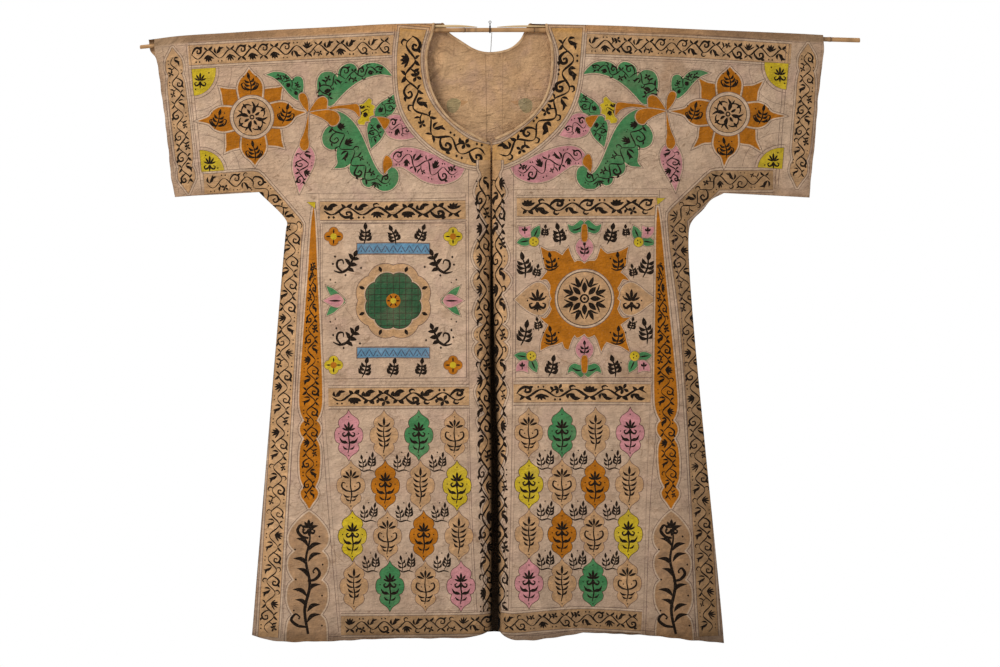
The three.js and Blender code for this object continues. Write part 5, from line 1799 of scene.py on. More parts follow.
def corner_sprig(sheet, x, y, sx, sy):
    """Corner flower: yellow eye, two green leaves and a pink bell that fills the corner."""
    for a, b in ((17.5, -1.0), (-5.5, 16.5)):
        base = (x + sx * 1.5, y + sy * 1.5)
        tip = (x + sx * a, y + sy * b)
        d = (tip[0] - base[0], tip[1] - base[1])
        n = (-d[1] * 0.27, d[0] * 0.27)
        ring = spline([base, (base[0] + d[0] * 0.35 + n[0], base[1] + d[1] * 0.35 + n[1]), (base[0] + d[0] * 0.75 + n[0] * 0.7, base[1] + d[1] * 0.75 + n[1] * 0.7), tip,
                       (base[0] + d[0] * 0.65 - n[0] * 0.9, base[1] + d[1] * 0.65 - n[1] * 0.9), (base[0] + d[0] * 0.3 - n[0], base[1] + d[1] * 0.3 - n[1])], 1.4, closed=True, corners=(0, 3))
        sheet.blob(ring, "green", 0.5, 0.5)
        sheet.leaf((base[0] + d[0] * 0.2, base[1] + d[1] * 0.2), (base[0] + d[0] * 0.8, base[1] + d[1] * 0.8), 1.6)
    pink = spline([(x + sx * 3.5, y + sy * 5.0), (x + sx * 4.0, y + sy * 11), (x + sx * 3.4, y + sy * 16.4), (x + sx * 9, y + sy * 14.6), (x + sx * 15.4, y + sy * 15.4), (x + sx * 14.6, y + sy * 9.4), (x + sx * 9.6, y + sy * 4.6)],
                  1.4, closed=True, corners=(0, 2, 4))
    sheet.blob(pink, "pink", 0.5, 0.5)
    trio(sheet, x + sx * 9.2, y + sy * 10.6, 4.8, 1.4)
    sheet.ring(circle(x, y, 5.4), "pencil")
    sheet.ring(circle(x, y, 4.8), "yellow")
    for a in range(3):
        sheet.dot(x + 2.0 * math.cos(a * 2.1), y + 2.0 * math.sin(a * 2.1), 0.8)


def tower(sheet, x_of, rows, ink, seed, marks=True, weight=2.4):
    """A standing row of lobes. rows: (y, half width, pinch?)."""
    pts = [(r[0], r[1]) for r in rows]
    corners = [i for i, r in enumerate(rows) if len(r) > 2]
    side = spline(pts, 1.5, corners=corners)
    xs = x_of(side[:, 0])
    ring = np.concatenate([np.stack([xs + side[:, 1], side[:, 0]], -1), np.stack([xs - side[:, 1], side[:, 0]], -1)[::-1]])
    sheet.blob(ring, ink, 1.6, 0.6)
    return ring


def framed_band(sheet, points, half, weight, pitch, seed, inset=3.5, curved=False, corners=(), gold="gold", scallop=None, low=0.0, high=None, borders=True):
    """A gold band with pale and pencil borders and a dark vine along it."""
    ribbon = Ribbon(points, curved, corners)
    high = ribbon.length if high is None else high
    if borders:
        sheet.ring(ribbon.strip(half + 2.9, low, high), "pencil")
        sheet.ring(ribbon.strip(half + 2.35, low, high), "cream")
        sheet.ring(ribbon.strip(half + 0.55, low, high), "pencil")
    if scallop:
        size = scallop
        count = max(2, int(round((high - low) / size)))
        size = (high - low) / count
        sheet.ring(ribbon.strip(half, low, high), "cream")

        def wave(t):
            return half - 1.7 + 1.5 * np.abs(np.sin((t - low) / size * math.pi)) ** 0.6

        sheet.ring(ribbon.strip(wave, low + 1, high - 1, 1.5), gold)
    else:
        sheet.ring(ribbon.strip(half, low, high), gold)
    vine(sheet, ribbon, low + inset, high - inset, half - 1.6, pitch, weight, seed)
    return ribbon


def side_band(sheet, mirrored, seed, back=False):
    """The long band under the sleeve, round the underarm and down the side."""
    if mirrored:
        points = [(773, 180.0), (715.5, 180.0), (677.0, 217.0), (679.4, 245), (690, 330), (708.6, 636)]
        halves = 9.6
    else:
        points = [(204, 184), (254, 180.8), (293.6, 226.5), (291.4, 245), (284.5, 360), (268.2, 637)]
        halves = 9.9
    ribbon = Ribbon(points, True, (1, 2))
    sheet.ring(ribbon.strip(halves + 3.0), "pencil")
    sheet.ring(ribbon.strip(halves + 2.4), "cream")
    sheet.ring(ribbon.strip(halves + 0.6), "pencil")
    # on the front the band on the viewer's right is painted darker, as painted shade away from the light
    sheet.ring(ribbon.strip(halves), "gold_painted_shade" if mirrored and not back else "gold")
    vine(sheet, ribbon, 3, ribbon.length - 4, halves - 1.0, 11.4, 1.8, seed)
    return ribbon


def cuff_band(sheet, mirrored, seed):
    if mirrored:
        line = [(808, 44), (804.5, 110), (797, 187)]
        inner = [(789.5, 44), (784, 110), (778, 188)]
    else:
        line = [(172.3, 48), (180, 120), (188.5, 193)]
        inner = [(186, 44), (192.5, 110), (202, 193)]
    ribbon = Ribbon(line)
    size = ribbon.length
    profile = [(0, 0.2, 1), (5, 3.4), (11, 7.2), (17, 8.6), (23, 8.2), (27, 6.6, 1), (34, 8.4), (60, 9.2), (90, 9.2), (size - 34, 8.4), (size - 27, 6.4, 1), (size - 21, 8.4),
               (size - 14, 8.2), (size - 7, 4.2), (size, 0.2, 1)]
    ring = lobed(ribbon, profile)
    sheet.ring(offset(ring, 2.6), "pencil")
    sheet.ring(offset(ring, 2.1), "cream")
    sheet.ring(offset(ring, 0.55), "pencil")
    sheet.ring(ring, "gold")
    vine(sheet, ribbon, 9, size - 9, lambda t: np.interp(t, [8, 18, size - 18, size - 8], [4.5, 7.6, 7.6, 4.5]), 10.4, 1.8, seed)
    for shift in (0.0, 3.2):
        sign = -1 if mirrored else 1
        sheet.line([(x + sign * shift, y) for x, y in inner], 0.55, "pencil", curved=True)
    outer = [(x - (inner[i][0] - x) * 0.72, y) for i, (x, y) in enumerate(line)]
    sheet.line(outer, 0.5, "pencil_faint", curved=True)


def neck_band(sheet, mirrored, seed):
    if mirrored:
        outer = [(582.5, 28), (580, 60), (577, 86), (570, 108), (560, 124), (540, 144), (520, 157.5), (504, 164.6), (490, 168)]
        inner = [(551.2, 28), (558.4, 50), (559.0, 70), (556.0, 87), (548.2, 101.6), (534, 118.6), (517.4, 132.6), (501, 143.0), (486, 145.4)]
        mid = [(567, 33), (568.5, 60), (565, 86), (556, 107), (541, 126), (520, 143.6), (498, 154)]
    else:
        outer = [(400, 28), (397, 60), (400, 100), (408, 120), (426, 141.6), (446, 155.6), (466, 163.8), (492, 168)]
        inner = [(426.2, 30), (421.0, 50), (421.0, 70), (425.6, 91), (435.8, 109.6), (452, 126.4), (470.8, 139.6), (492, 145.0)]
        mid = [(413, 33), (410, 60), (413, 92), (424, 117), (442, 137), (463, 149), (486, 155)]
    outer = spline(outer, 2.0)
    inner = spline(inner, 2.0)
    ring = np.concatenate([outer, inner[::-1]])
    sheet.ring(offset(ring, 5.2), "pencil")
    sheet.ring(offset(ring, 4.6), "bare")
    sheet.ring(offset(ring, 3.0), "pencil")
    sheet.ring(offset(ring, 2.4), "cream")
    sheet.ring(offset(ring, 0.6), "pencil")
    sheet.ring(ring, "gold_deep")
    vine(sheet, Ribbon(mid), 4, Ribbon(mid).length - 1, 10.2, 15.5, 3.05, seed)
    return ring


PLACKET_RIGHT = [(160, 479), (168, 479), (175, 481.5), (184, 477.5), (193, 475.2), (202, 480, 1), (209, 479.4), (216, 482.4), (226, 488.6, 1), (233, 484), (243, 477), (255.6, 473.2),
                 (264, 475.4), (270, 480.4, 1), (275, 475), (280.5, 473.2), (288, 476), (294, 482.8, 1), (303, 477), (314, 474.6), (320, 477.4), (324.5, 483.7, 1), (329, 476),
                 (333, 474), (338, 474.8), (341.6, 479, 1), (346, 475.2), (350.6, 474.4), (357, 477), (361, 482, 1), (369, 480.4), (378, 485.6, 1), (383, 480), (391, 476),
                 (403, 479.4), (414, 485, 1), (420, 478), (427, 480), (434, 486, 1), (442, 481), (450, 479.4), (462, 482.6), (471, 488.4, 1), (484, 483), (497, 488.4, 1), (510, 482.6),
                 (523, 488.4, 1), (536, 483), (547, 488.6, 1), (566, 482.8), (580, 488.8, 1), (594, 483.6), (606, 488.8, 1), (620, 484), (640, 486)]
PLACKET_LEFT = [(160, 501), (168, 501), (175, 498.6), (184, 502.4), (193, 505.6), (202, 500.6, 1), (209, 501.2), (216, 498), (226, 493, 1), (233, 496.6), (243, 503), (255.6, 508),
                (264, 506.6), (270, 502, 1), (275, 508), (280.5, 510.4), (288, 506.6), (294, 500.2, 1), (303, 504.6), (314, 507), (320, 506), (324.5, 501.6, 1), (329, 506.6),
                (333, 508), (338, 507), (341.6, 503, 1), (346, 507.4), (350.6, 508), (357, 506.2), (361, 502, 1), (369, 504), (378, 500, 1), (383, 503.6), (391, 507), (403, 504),
                (414, 500, 1), (420, 505), (427, 503.4), (434, 499.6, 1), (442, 504), (450, 506), (462, 503), (471, 499.2, 1), (484, 504), (497, 499.6, 1), (510, 504.4), (523, 499.6, 1),
                (536, 504.4), (547, 500, 1), (566, 505), (580, 500, 1), (594, 504), (606, 500, 1), (620, 503.4), (640, 502)]


def placket(sheet, mirrored, seed):
    """The scalloped gold band at the front edge, on round the curl."""
    side = 1 if mirrored else -1
    rows = PLACKET_LEFT if mirrored else PLACKET_RIGHT
    corners = [i for i, r in enumerate(rows) if len(r) > 2]
    edge = spline([(r[1], r[0]) for r in rows], 1.5, corners=corners)
    for grow, ink in ((2.9, "pencil"), (2.35, "cream"), (0.6, "pencil"), (0.0, "gold")):
        shifted = edge.copy()
        if grow:
            d = np.gradient(edge, axis=0)
            d /= np.linalg.norm(d, axis=1, keepdims=True)
            n = np.stack([d[:, 1], -d[:, 0]], -1)
            n = np.where((n[:, :1] * side) > 0, n, -n)
            shifted = edge + n * grow
        places = to_cloth("front", side, shifted)
        s = places[::-1, 1]
        z = crest_z(places[::-1, 0]) - FOLD_R - (s - FOLD_ARC)
        curl = curl_at(side, z)
        end = curl["start"] - side * (curl["bend"] + curl["tail"] - 0.3)
        sheet.raw(np.concatenate([places, np.stack([end, s], -1)[::3]]), ink)
    x = 498.6 if mirrored else 482.6
    line = [(x, 176), (x + (0.4 if mirrored else 0.2), 300), (x + 1.6 * (1 if mirrored else 0.6), 420), (x + (2.8 if mirrored else 3.2), 520), (x + (3.4 if mirrored else 4.0), 632)]
    ribbon = Ribbon(line)
    vine(sheet, ribbon, 0, ribbon.length, 6.8, 15.0, 2.35, seed)


def orange_side(sheet, mirrored, seed):
    """The orange band that grows from a point into lobes, and the tan cartouche under it."""
    if mirrored:
        def x_of(y):
            return np.interp(y, [205, 400, 508, 640], [657.6, 666.0, 671.0, 674.5])
    else:
        def x_of(y):
            return np.interp(y, [205, 400, 508, 640], [313.6, 310.8, 309.2, 306.5])
    rows = [(207, 0.3, 1), (220, 1.8), (245, 3.4), (270, 4.6), (300, 6.4), (330, 8.2), (365, 10.2), (392, 11.4), (406, 11.2), (414, 9.4), (420.5, 6.2, 1), (424, 9.2), (429.5, 10.4), (434, 9.2),
            (438.5, 6.0, 1), (445, 9.2), (456, 10.4), (468, 10.2), (479, 9.0), (487, 5.6, 1), (492, 8.6), (497, 7.8), (503, 3.6), (508.5, 0.3, 1)]
    tower(sheet, x_of, rows, "orange", seed)
    path = [(float(x_of(y)), y) for y in (262, 330, 400, 430, 462, 500)]
    ribbon = Ribbon(path)
    places = [0, 8, 38, 68, 103, 130, 144, 154, 160, 170, 176, 184, 216, 225, 232, 238]
    halves = [2.4, 2.6, 4.6, 6.2, 8.0, 8.8, 8.8, 7.4, 6.4, 8.4, 6.4, 8.2, 7.6, 5.4, 6.4, 3.0]
    vine(sheet, ribbon, 0, ribbon.length, lambda t: np.interp(t, places, halves), 10.4, 1.9, seed)
    tri = [(307, 202), (315.5, 202), (315, 208.4)] if not mirrored else [(657, 198), (665.5, 198), (657.4, 204.6)]
    sheet.ring(offset(tri, 0.4), "pencil")
    sheet.ring(tri, "yellow")
    rows = [(511.5, 0.3, 1), (515, 5.2), (521, 11.4), (530, 18.0), (538, 20.0), (545, 18.4), (551, 13.4, 1), (556, 18.2), (564, 20.0), (572, 18.4), (580, 13.4, 1), (585, 18.4), (596, 20.4),
            (606, 18.6), (615, 13.4, 1), (620, 17.8), (630, 19.8), (650, 20.0)]
    slim = 0.90 if mirrored else 1.0
    rows = [(r[0], r[1] * slim, *r[2:]) for r in rows]
    ring = tower(sheet, x_of, rows, "tan_dark", seed)
    # a tall plant in it
    stem = [(float(x_of(y)) + dx, y) for y, dx in ((634, 1.5), (610, -2.4), (585, 2.2), (560, -2.2), (538, 1.4), (520, 0))]
    sheet.stroke(stem, 3.2, "ink", (0.8, 0.3), 0.3)
    for i, y in enumerate((627, 612, 597, 581, 566, 551, 538)):
        x = float(x_of(y))
        sign = 1 if i % 2 else -1
        reach = (15.5, 13.5, 15.0, 12.0, 15.0, 13.5, 11.0)[i]
        if i % 3 == 0:
            sheet.stroke([(x, y), (x + sign * reach * 0.6, y - 1.6), (x + sign * reach, y - 7.5), (x + sign * reach * 0.7, y - 13), (x + sign * reach * 0.4, y - 9.4)], 3.2, "ink", (0.6, 0.35), 0.4)
            sheet.dot(x + sign * reach * 0.5, y - 8.6, 1.2)
        else:
            sheet.leaf((x, y), (x + sign * reach, y - 7.5), 4.4, -0.20 * sign)
        sheet.leaf((x, y - 4), (x - sign * reach * 0.92, y - 12.5), 4.2, 0.22 * sign)
        sheet.dot(x - sign * reach * 0.98, y - 1.5, 1.1)
    palmette(sheet, float(x_of(527)), 527, 10, 2.6)


def lattice(sheet, xs, ys, colours, seed, tall=1.0):
    for r, (row_x, y) in enumerate(zip(xs, ys)):
        for c, x in enumerate(row_x):
            if r > 0:
                sheet.line([(xs[r - 1][c], ys[r - 1] + 25), (x, y - 25)], 0.6, "pencil")
            lozenge(sheet, x, y, colours[r][c], seed * 7 + r * 5 + c * 3, tall)
    for r in range(len(ys) - 1):
        y = (ys[r] + ys[r + 1]) / 2 + 1.5
        for c in range(len(xs[r]) - 1):
            x = (xs[r][c] + xs[r][c + 1] + xs[r + 1][c] + xs[r + 1][c + 1]) / 4
            lean = 0.10 * math.sin(r * 2.1 + c * 1.7)
            sprig(sheet, x - 4.8, y + 0.6, -math.pi / 2 - 0.16 + lean, 15.5, 1.85, 2, spread=0.7)
            sprig(sheet, x + 4.6, y - 1.0, -math.pi / 2 + 0.12 + lean, 17.5, 1.9, 3, spread=0.62)
            sheet.dot(x - 0.4, y - 9.6, 0.85)
            sheet.stroke([(x - 8.2, y + 6.4), (x - 4.0, y + 9.2), (x + 2.0, y + 8.0), (x + 7.2, y + 9.6)], 1.5, "ink", (0.3, 0.3))


def paint_front(mirrored):
    side = 1 if mirrored else -1
    sheet = Sheet("front", side)
    s0 = 500 if mirrored else 100

    # shoulder line and the band along the top of the sleeve
    if mirrored:
        sheet.line([(582, 29.5), (690, 34), (822, 44)], 0.5, "pencil_faint", curved=True)
        framed_band(sheet, [(585.5, 43.6), (690, 47.6), (791, 54.0)], 9.9, 2.1, 10.8, s0 + 1, curved=True)
        sheet.line([(583, 58.6), (690, 62.4), (790, 67.6)], 0.5, "pencil_faint", curved=True)
    else:
        sheet.line([(160, 47), (280, 38.5), (399, 31.5)], 0.5, "pencil_faint", curved=True)
        framed_band(sheet, [(188.6, 55.4), (290, 50.0), (394, 44.8)], 9.9, 2.1, 10.8, s0 + 1, curved=True)
        sheet.line([(189, 69.4), (290, 64.6), (397, 59.6)], 0.5, "pencil_faint", curved=True)
    cuff_band(sheet, mirrored, s0 + 2)
    side_band(sheet, mirrored, s0 + 3)

    # corners of the sleeve
    if mirrored:
        corner_fan(sheet, 788.6, 63.6, 24, 26, -1, 1, 1, -0.09)
        corner_fan(sheet, 782.0, 168.6, 24, 21, -1, -1, 2, -0.09)
        rosette(sheet, 728, 114, [(730, 67), (785, 116), (724, 166), (670.6, 111)], [(762, 82), (699.5, 79), (760, 150), (694, 147)], 5)
    else:
        corner_fan(sheet, 191.6, 69.2, 24, 26.5, 1, 1, 1, 0.09)
        corner_fan(sheet, 201.6, 171.6, 22.5, 21.5, 1, -1, 2, 0.09)
        rosette(sheet, 252, 117, [(249, 69), (197.4, 121), (255, 165), (305.6, 112)], [(220.5, 88), (282, 87), (226, 151.5), (283, 147)], 5)
    # the leaf spray between the rosette and the neck
    spray(sheet, mirrored)

    # guide lines of the body
    if mirrored:
        sheet.line([(513.5, 165), (513, 320), (511.5, 480), (508, 632)], 0.55, "pencil", curved=True)
        sheet.line([(516, 190), (516, 300), (514.4, 480), (510.5, 632)], 0.5, "pencil_faint", curved=True)
        sheet.line([(659.6, 190), (659.4, 380), (650.5, 500), (645.5, 634)], 0.55, "pencil", curved=True)
        sheet.line([(664, 200), (663, 240), (649.5, 420), (643.0, 634)], 0.5, "pencil_faint", curved=True)
        sheet.line([(673.5, 226), (682.5, 330), (695.5, 632)], 0.5, "pencil", curved=True)
        sheet.line([(512, 189.4), (590, 189.0), (668, 188.4)], 0.5, "pencil_faint", curved=True)
        header, lower = [(516.8, 207), (587, 206.6), (658, 206.2)], [(513.6, 393.4), (582, 392.8), (650.6, 393.2)]
        edges = [(516, 222), (659, 222), (659, 377.5), (515.4, 377.5), (516, 222)]
        pencil = [[(516, 219.4), (660, 219)], [(515, 380.4), (658, 380)], [(513, 405.6), (650, 405)], [(510, 607.4), (648, 607)]]
        bottom = [(500.5, 622.8), (515, 623.2), (545, 620.6), (580, 618.4), (612, 619.6), (641.5, 621.4)]
    else:
        sheet.line([(468.6, 165), (468.6, 320), (470.6, 480), (478, 632)], 0.55, "pencil", curved=True)
        sheet.line([(465.4, 193), (466.2, 300), (468.6, 480), (475.4, 632)], 0.5, "pencil_faint", curved=True)
        sheet.line([(319, 193), (320, 380), (327.5, 500), (338.5, 632)], 0.55, "pencil", curved=True)
        sheet.line([(322.4, 200), (323.4, 380), (331.0, 500), (341.0, 632)], 0.5, "pencil_faint", curved=True)
        sheet.line([(302, 232), (294.5, 400), (282.5, 634)], 0.5, "pencil", curved=True)
        sheet.line([(306, 193.6), (390, 193), (469, 192.6)], 0.5, "pencil_faint", curved=True)
        header, lower = [(320, 210.8), (393, 210.8), (465.6, 209.6)], [(328.4, 397.2), (399, 396.6), (469, 396.2)]
        edges = [(320.4, 223.6), (466, 223), (466.4, 377.5), (321, 379), (320.4, 223.6)]
        pencil = [[(320, 220.8), (467, 220.4)], [(322, 382), (468, 381)], [(326, 409.6), (472, 408.4)], [(338, 611.2), (478, 610.4)]]
        bottom = [(341, 625.6), (420, 625.0), (496, 623.8)]
    neck_band(sheet, mirrored, s0 + 5)
    placket(sheet, mirrored, s0 + 6)
    framed_band(sheet, header, 9.2, 3.25, 15.5, s0 + 7, curved=True, inset=4)
    framed_band(sheet, lower, 9.0, 3.25, 15.5, s0 + 8, curved=True, inset=4)
    sheet.line(edges, 0.6, "pencil")
    for p in pencil:
        sheet.line(p, 0.5, "pencil_faint")
    hem, cuff = (HEM_LEFT, CUFF_LEFT) if mirrored else (HEM_RIGHT, CUFF_RIGHT)
    for rise, ink in ((2.0, "pencil"), (4.4, "pencil_faint")):
        sheet.line([(490 + a / 1.4, 22 - b / 1.4 - rise) for a, b in hem[1:-2]], 0.55, ink, curved=True)
    sheet.line([(490 + a / 1.4 - side * 2.4, 22 - b / 1.4) for a, b in cuff[3:-1]], 0.55, "pencil_faint", curved=True)
    if mirrored:
        sun_panel(sheet, 584.5, 298.5, 31)
        for x, y, sx, sy in ((534.0, 241.6, -1, -1), (638.6, 242, 1, -1), (531.4, 356, -1, 1), (634.6, 356, 1, 1)):
            corner_sprig(sheet, x, y, sx, sy)
        for x, y, a, size in ((559, 234, -0.2, 17), (611, 234, 0.25, 17), (524, 265, -0.2, 20), (647, 265, 0.2, 20), (525, 333, 0.2, 20), (646, 331, -0.2, 20), (552, 366, 0.2, 17), (614, 366, -0.25, 17),
                              (545, 231, 0.1, 10), (626, 231, -0.1, 10), (537, 271, 0.2, 11), (633, 271, -0.2, 11), (538, 324, -0.2, 11), (632, 324, 0.2, 11)):
            sprig(sheet, x, y, -math.pi / 2 + a, size * 1.30, 3.3 if size > 14 else 2.2, 3)
            sheet.dot(x + size * 0.42, y - size * 0.2, 0.9)
    else:
        medallion_panel(sheet, 320.6, 223.4, 466, 378, 17)
    orange_side(sheet, mirrored, s0 + 9)
    if mirrored:
        xs = [[528.7, 562, 595.6, 630.2], [529, 562, 595, 629.4], [529, 562, 594, 628.4], [529, 562, 593, 627.4]]
        ys = [432.6, 484.2, 534.2, 583.4]
        colours = [["tan", "green", "tan", "pink"], ["yellow", "tan", "orange", "tan"], ["tan", "orange", "tan", "yellow"], ["pink", "tan", "green", "tan"]]
    else:
        xs = [[348.7, 384, 418.8, 454.6], [350.9, 385.3, 420.5, 457], [352.4, 387.5, 423.7, 458.9], [354, 389.9, 425.4, 461]]
        ys = [435.2, 485.6, 536, 586.2]
        colours = [["pink", "tan", "green", "tan"], ["tan", "orange", "tan", "yellow"], ["yellow", "tan", "orange", "tan"], ["tan", "green", "tan", "pink"]]
    lattice(sheet, xs, ys, colours, 3 if mirrored else 4)
    # the bottom band in the darker gold: painted shade low on the cloth
    framed_band(sheet, bottom, 9.4, 2.05, 11.4, s0 + 10, curved=True, gold="gold_painted_shade")
    return sheet


def paint_back():
    """The outside of the back: the same family of ornaments, more widely set."""
    sheet = Sheet("back", 0)
    framed_band(sheet, [(188.6, 55.4), (290, 50.0), (420, 44.8)], 9.2, 1.7, 10.0, 901, curved=True)
    framed_band(sheet, [(560, 43.6), (690, 47.6), (791, 54.0)], 9.4, 1.7, 10.0, 902, curved=True)
    cuff_band(sheet, False, 903)
    cuff_band(sheet, True, 904)
    side_band(sheet, False, 905)
    side_band(sheet, True, 906)
    # a gold collar under the neck
    collar = Ribbon([(434, 33), (452, 52), (474, 64), (492, 67), (512, 63), (532, 50), (546, 33)])
    sheet.ring(collar.strip(12.4), "pencil")
    sheet.ring(collar.strip(11.8), "cream")
    sheet.ring(collar.strip(9.8), "pencil")
    sheet.ring(collar.strip(9.2), "gold_deep")
    vine(sheet, collar, 4, collar.length - 4, 8.0, 12.0, 2.4, 907)
    for mirrored in (False, True):
        shift = 60

        def turn(p, m=mirrored):
            q = p + np.array([shift, 4.0])
            return np.stack([980 - q[:, 0], q[:, 1]], -1) if m else q

        part = Sheet("back", 0)
        spray(part, False)
        # the large leaf that would reach the middle is left off
        for ring, ink in zip(part.rings, part.inks):
            if ring[:, 0].mean() < 392 or (ring[:, 1].mean() < 150 and ring[:, 0].mean() < 420):
                sheet.rings.append(turn(ring))
                sheet.inks.append(ink)
                sheet.flat.append(False)
        part = Sheet("back", 0)
        rosette(part, 252, 117, [(249, 69), (197.4, 121), (255, 165), (305.6, 112)], [(220.5, 88), (282, 87), (226, 151.5), (283, 147)], 6)
        for ring, ink in zip(part.rings, part.inks):
            sheet.rings.append(turn(ring))
            sheet.inks.append(ink)
            sheet.flat.append(False)
        x = 760 if mirrored else 218
        lozenge(sheet, x, 96, "tan", 41 + mirrored)
        lozenge(sheet, x + (-2 if mirrored else 3), 150, "pink", 43 + mirrored)
    # body
    framed_band(sheet, [(335, 207), (490, 209), (640, 206)], 9.2, 2.7, 15, 911, curved=True, inset=4)
    framed_band(sheet, [(333, 393), (490, 395), (645, 392)], 9.2, 2.7, 15, 912, curved=True, inset=4)
    sheet.line([(333, 222), (642, 222), (646, 379), (331, 380), (333, 222)], 0.6, "pencil")
    sheet.line([(336, 225), (639, 225), (643, 376), (334, 377), (336, 225)], 0.5, "pencil_faint")
    sun_panel(sheet, 489, 300, 77)
    for sx in (-1, 1):
        for sy in (-1, 1):
            quatrefoil(sheet, 489 + sx * 136, 300 + sy * 58, 10, "orange" if sx * sy > 0 else "yellow", "yellow" if sx * sy > 0 else "orange")
            corner_sprig(sheet, 489 + sx * 82, 300 + sy * 46, sx, sy)
        lozenge(sheet, 489 + sx * 106, 300, "green", 50 + sx)
        lozenge(sheet, 489 + sx * 136, 300, "pink", 55 + sx)
        for y in (240, 262, 338, 360):
            sprig(sheet, 489 + sx * 108, y, -math.pi / 2 + sx * 0.3, 17, 2.1, 2)
            sprig(sheet, 489 + sx * 72, y - 4, -math.pi / 2 - sx * 0.3, 14, 1.9, 2)
    orange_side(sheet, False, 913)
    orange_side(sheet, True, 914)
    tones = ["tan", "orange", "tan", "green", "tan", "yellow", "tan", "pink"]
    xs, ys, colours = [], [], []
    for r in range(4):
        ys.append(434 + r * 50.4)
        xs.append([352 + c * 39.4 + 0.4 * r * (c - 3.5) for c in range(8)])
        colours.append([tones[(c + r * 3) % 8] for c in range(8)])
    lattice(sheet, xs, ys, colours, 5)
    framed_band(sheet, [(341, 623), (490, 622), (641.5, 622)], 9.0, 1.75, 10.2, 915, curved=True)
    return sheet


def paint_neck_lining():
    """The bare inside of the back, where the outside's colours show through a little."""
    sheet = Sheet("back", 0)
    sheet.line([(485.4, 52), (486.4, 100), (486.8, 160)], 0.9, "ghost_line", curved=True)
    sheet.line([(503, 52), (502.6, 110), (503.4, 150)], 0.6, "ghost_line", curved=True)
    for x, sign in ((454.5, 1), (524.5, -1)):
        sheet.ring(spline([(x - sign * 7, 101), (x, 98), (x + sign * 6, 101), (x + sign * 4.6, 108), (x - sign * 1, 113), (x - sign * 7, 110)], 1.5, closed=True), "ghost_green")
        sheet.ring(spline([(x + sign * 6, 100), (x + sign * 14, 101.4), (x + sign * 6.6, 106.4)], 1.5, closed=True, corners=(0, 1, 2)), "ghost_orange")
    return sheet


# =====================================================================================
# The cloth
# =====================================================================================

BARE = (*srgb(205, 178, 150), 0.0)

front_cotton = cotton("cotton_front", (215, 185, 158), (201, 168, 140), (178, 154, 135), 0.0)
back_cotton = cotton("cotton_back", (218, 178, 136), (204, 160, 118), (168, 134, 106), 4.7)

pieces = {}
for side, word in ((-1, "right"), (1, "left")):
    outline, neck = front_outline(side)
    sheet = paint_front(side > 0)
    obj, area, box = cloth_piece(f"cloth_front_{word}", "front", side, outline, sheet.shapes(), [], front_cotton, 5.0, 9.0, BARE)
    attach(obj, "root")
    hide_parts(f"front_{word}")
    pieces[f"front_{word}"] = (obj, area, box, neck)
outline, neck = back_outline()
sheet = paint_back()
lining = paint_neck_lining()
obj, area, box = cloth_piece("cloth_back", "back", 0, outline, sheet.shapes(), lining.shapes(), back_cotton, 6.5, 8.5, BARE)
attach(obj, "root")
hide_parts("back")
pieces["back"] = (obj, area, box, neck)

# =====================================================================================
# Neck edges, rod, slats, wire and thread
# =====================================================================================


def swept(name, rings, material, marks=None, uv_rows=None, closed=False, caps=True):
    """A skin over rings of points (stations x sides x 3, millimetres)."""
    rings = np.asarray(rings, float)
    m, k = rings.shape[:2]
    faces = []
    for i in range(m if closed else m - 1):
        j = (i + 1) % m
        for a in range(k):
            b = (a + 1) % k
            faces.append((i * k + a, i * k + b, j * k + b, j * k + a))
    verts = rings.reshape(-1, 3)
    if caps and not closed:
        first, last = len(verts), len(verts) + 1
        verts = np.concatenate([verts, rings[0].mean(0)[None], rings[-1].mean(0)[None]])
        for a in range(k):
            b = (a + 1) % k
            faces.append((first, b, a))
            faces.append((last, (m - 1) * k + a, (m - 1) * k + b))
    # faces outwards
    v = verts
    volume = 0.0
    for f in faces:
        for t in range(1, len(f) - 1):
            volume += float(np.dot(v[f[0]], np.cross(v[f[t]], v[f[t + 1]])))
    if volume < 0:
        faces = [f[::-1] for f in faces]
    obj = new_object(name, verts * MM, faces, material)
    mesh = obj.data
    mesh.polygons.foreach_set("use_smooth", np.ones(len(mesh.polygons), bool))
    values = np.zeros(len(verts), np.float32)
    if marks is not None:
        values[:m * k] = np.repeat(np.asarray(marks, np.float32), k) if np.ndim(marks) == 1 else np.asarray(marks, np.float32).ravel()
        if caps and not closed:
            values[m * k] = values[0]
            values[m * k + 1] = values[(m - 1) * k]
    layer = mesh.attributes.new("mark", "FLOAT", "POINT")
    layer.data.foreach_set("value", values)
    if uv_rows is not None:
        uv = mesh.uv_layers.new(name="cloth")
        pattern = np.zeros((len(verts), 2))
        pattern[:m * k, 0] = np.repeat(uv_rows, k)
        pattern[:m * k, 1] = np.tile(np.arange(k) * 1.2, m)
        at = np.zeros(len(mesh.loops), np.int32)
        mesh.loops.foreach_get("vertex_index", at)
        uv.data.foreach_set("uv", (pattern[at] * MM).astype(np.float32).ravel())
    return obj


def rings_along(points, radius, sides, start=0.0, squash=1.0):
    """Circles square to a line of points, without twist."""
    p = np.asarray(points, float)
    t = np.gradient(p, axis=0)
    t /= np.linalg.norm(t, axis=1, keepdims=True)
    side = np.cross(t[0], (0, 0, 1.0))
    if np.linalg.norm(side) < 1e-3:
        side = np.cross(t[0], (0, 1.0, 0))
    side /= np.linalg.norm(side)
    radius = np.broadcast_to(np.asarray(radius, float), (len(p),))
    angles = start + np.arange(sides) * 2 * math.pi / sides
    out = []
    for i in range(len(p)):
        side = side - t[i] * np.dot(side, t[i])
        side /= np.linalg.norm(side)
        up = np.cross(t[i], side)
        out.append(p[i] + radius[i] * (np.cos(angles)[:, None] * side + squash * np.sin(angles)[:, None] * up))
    return np.array(out)


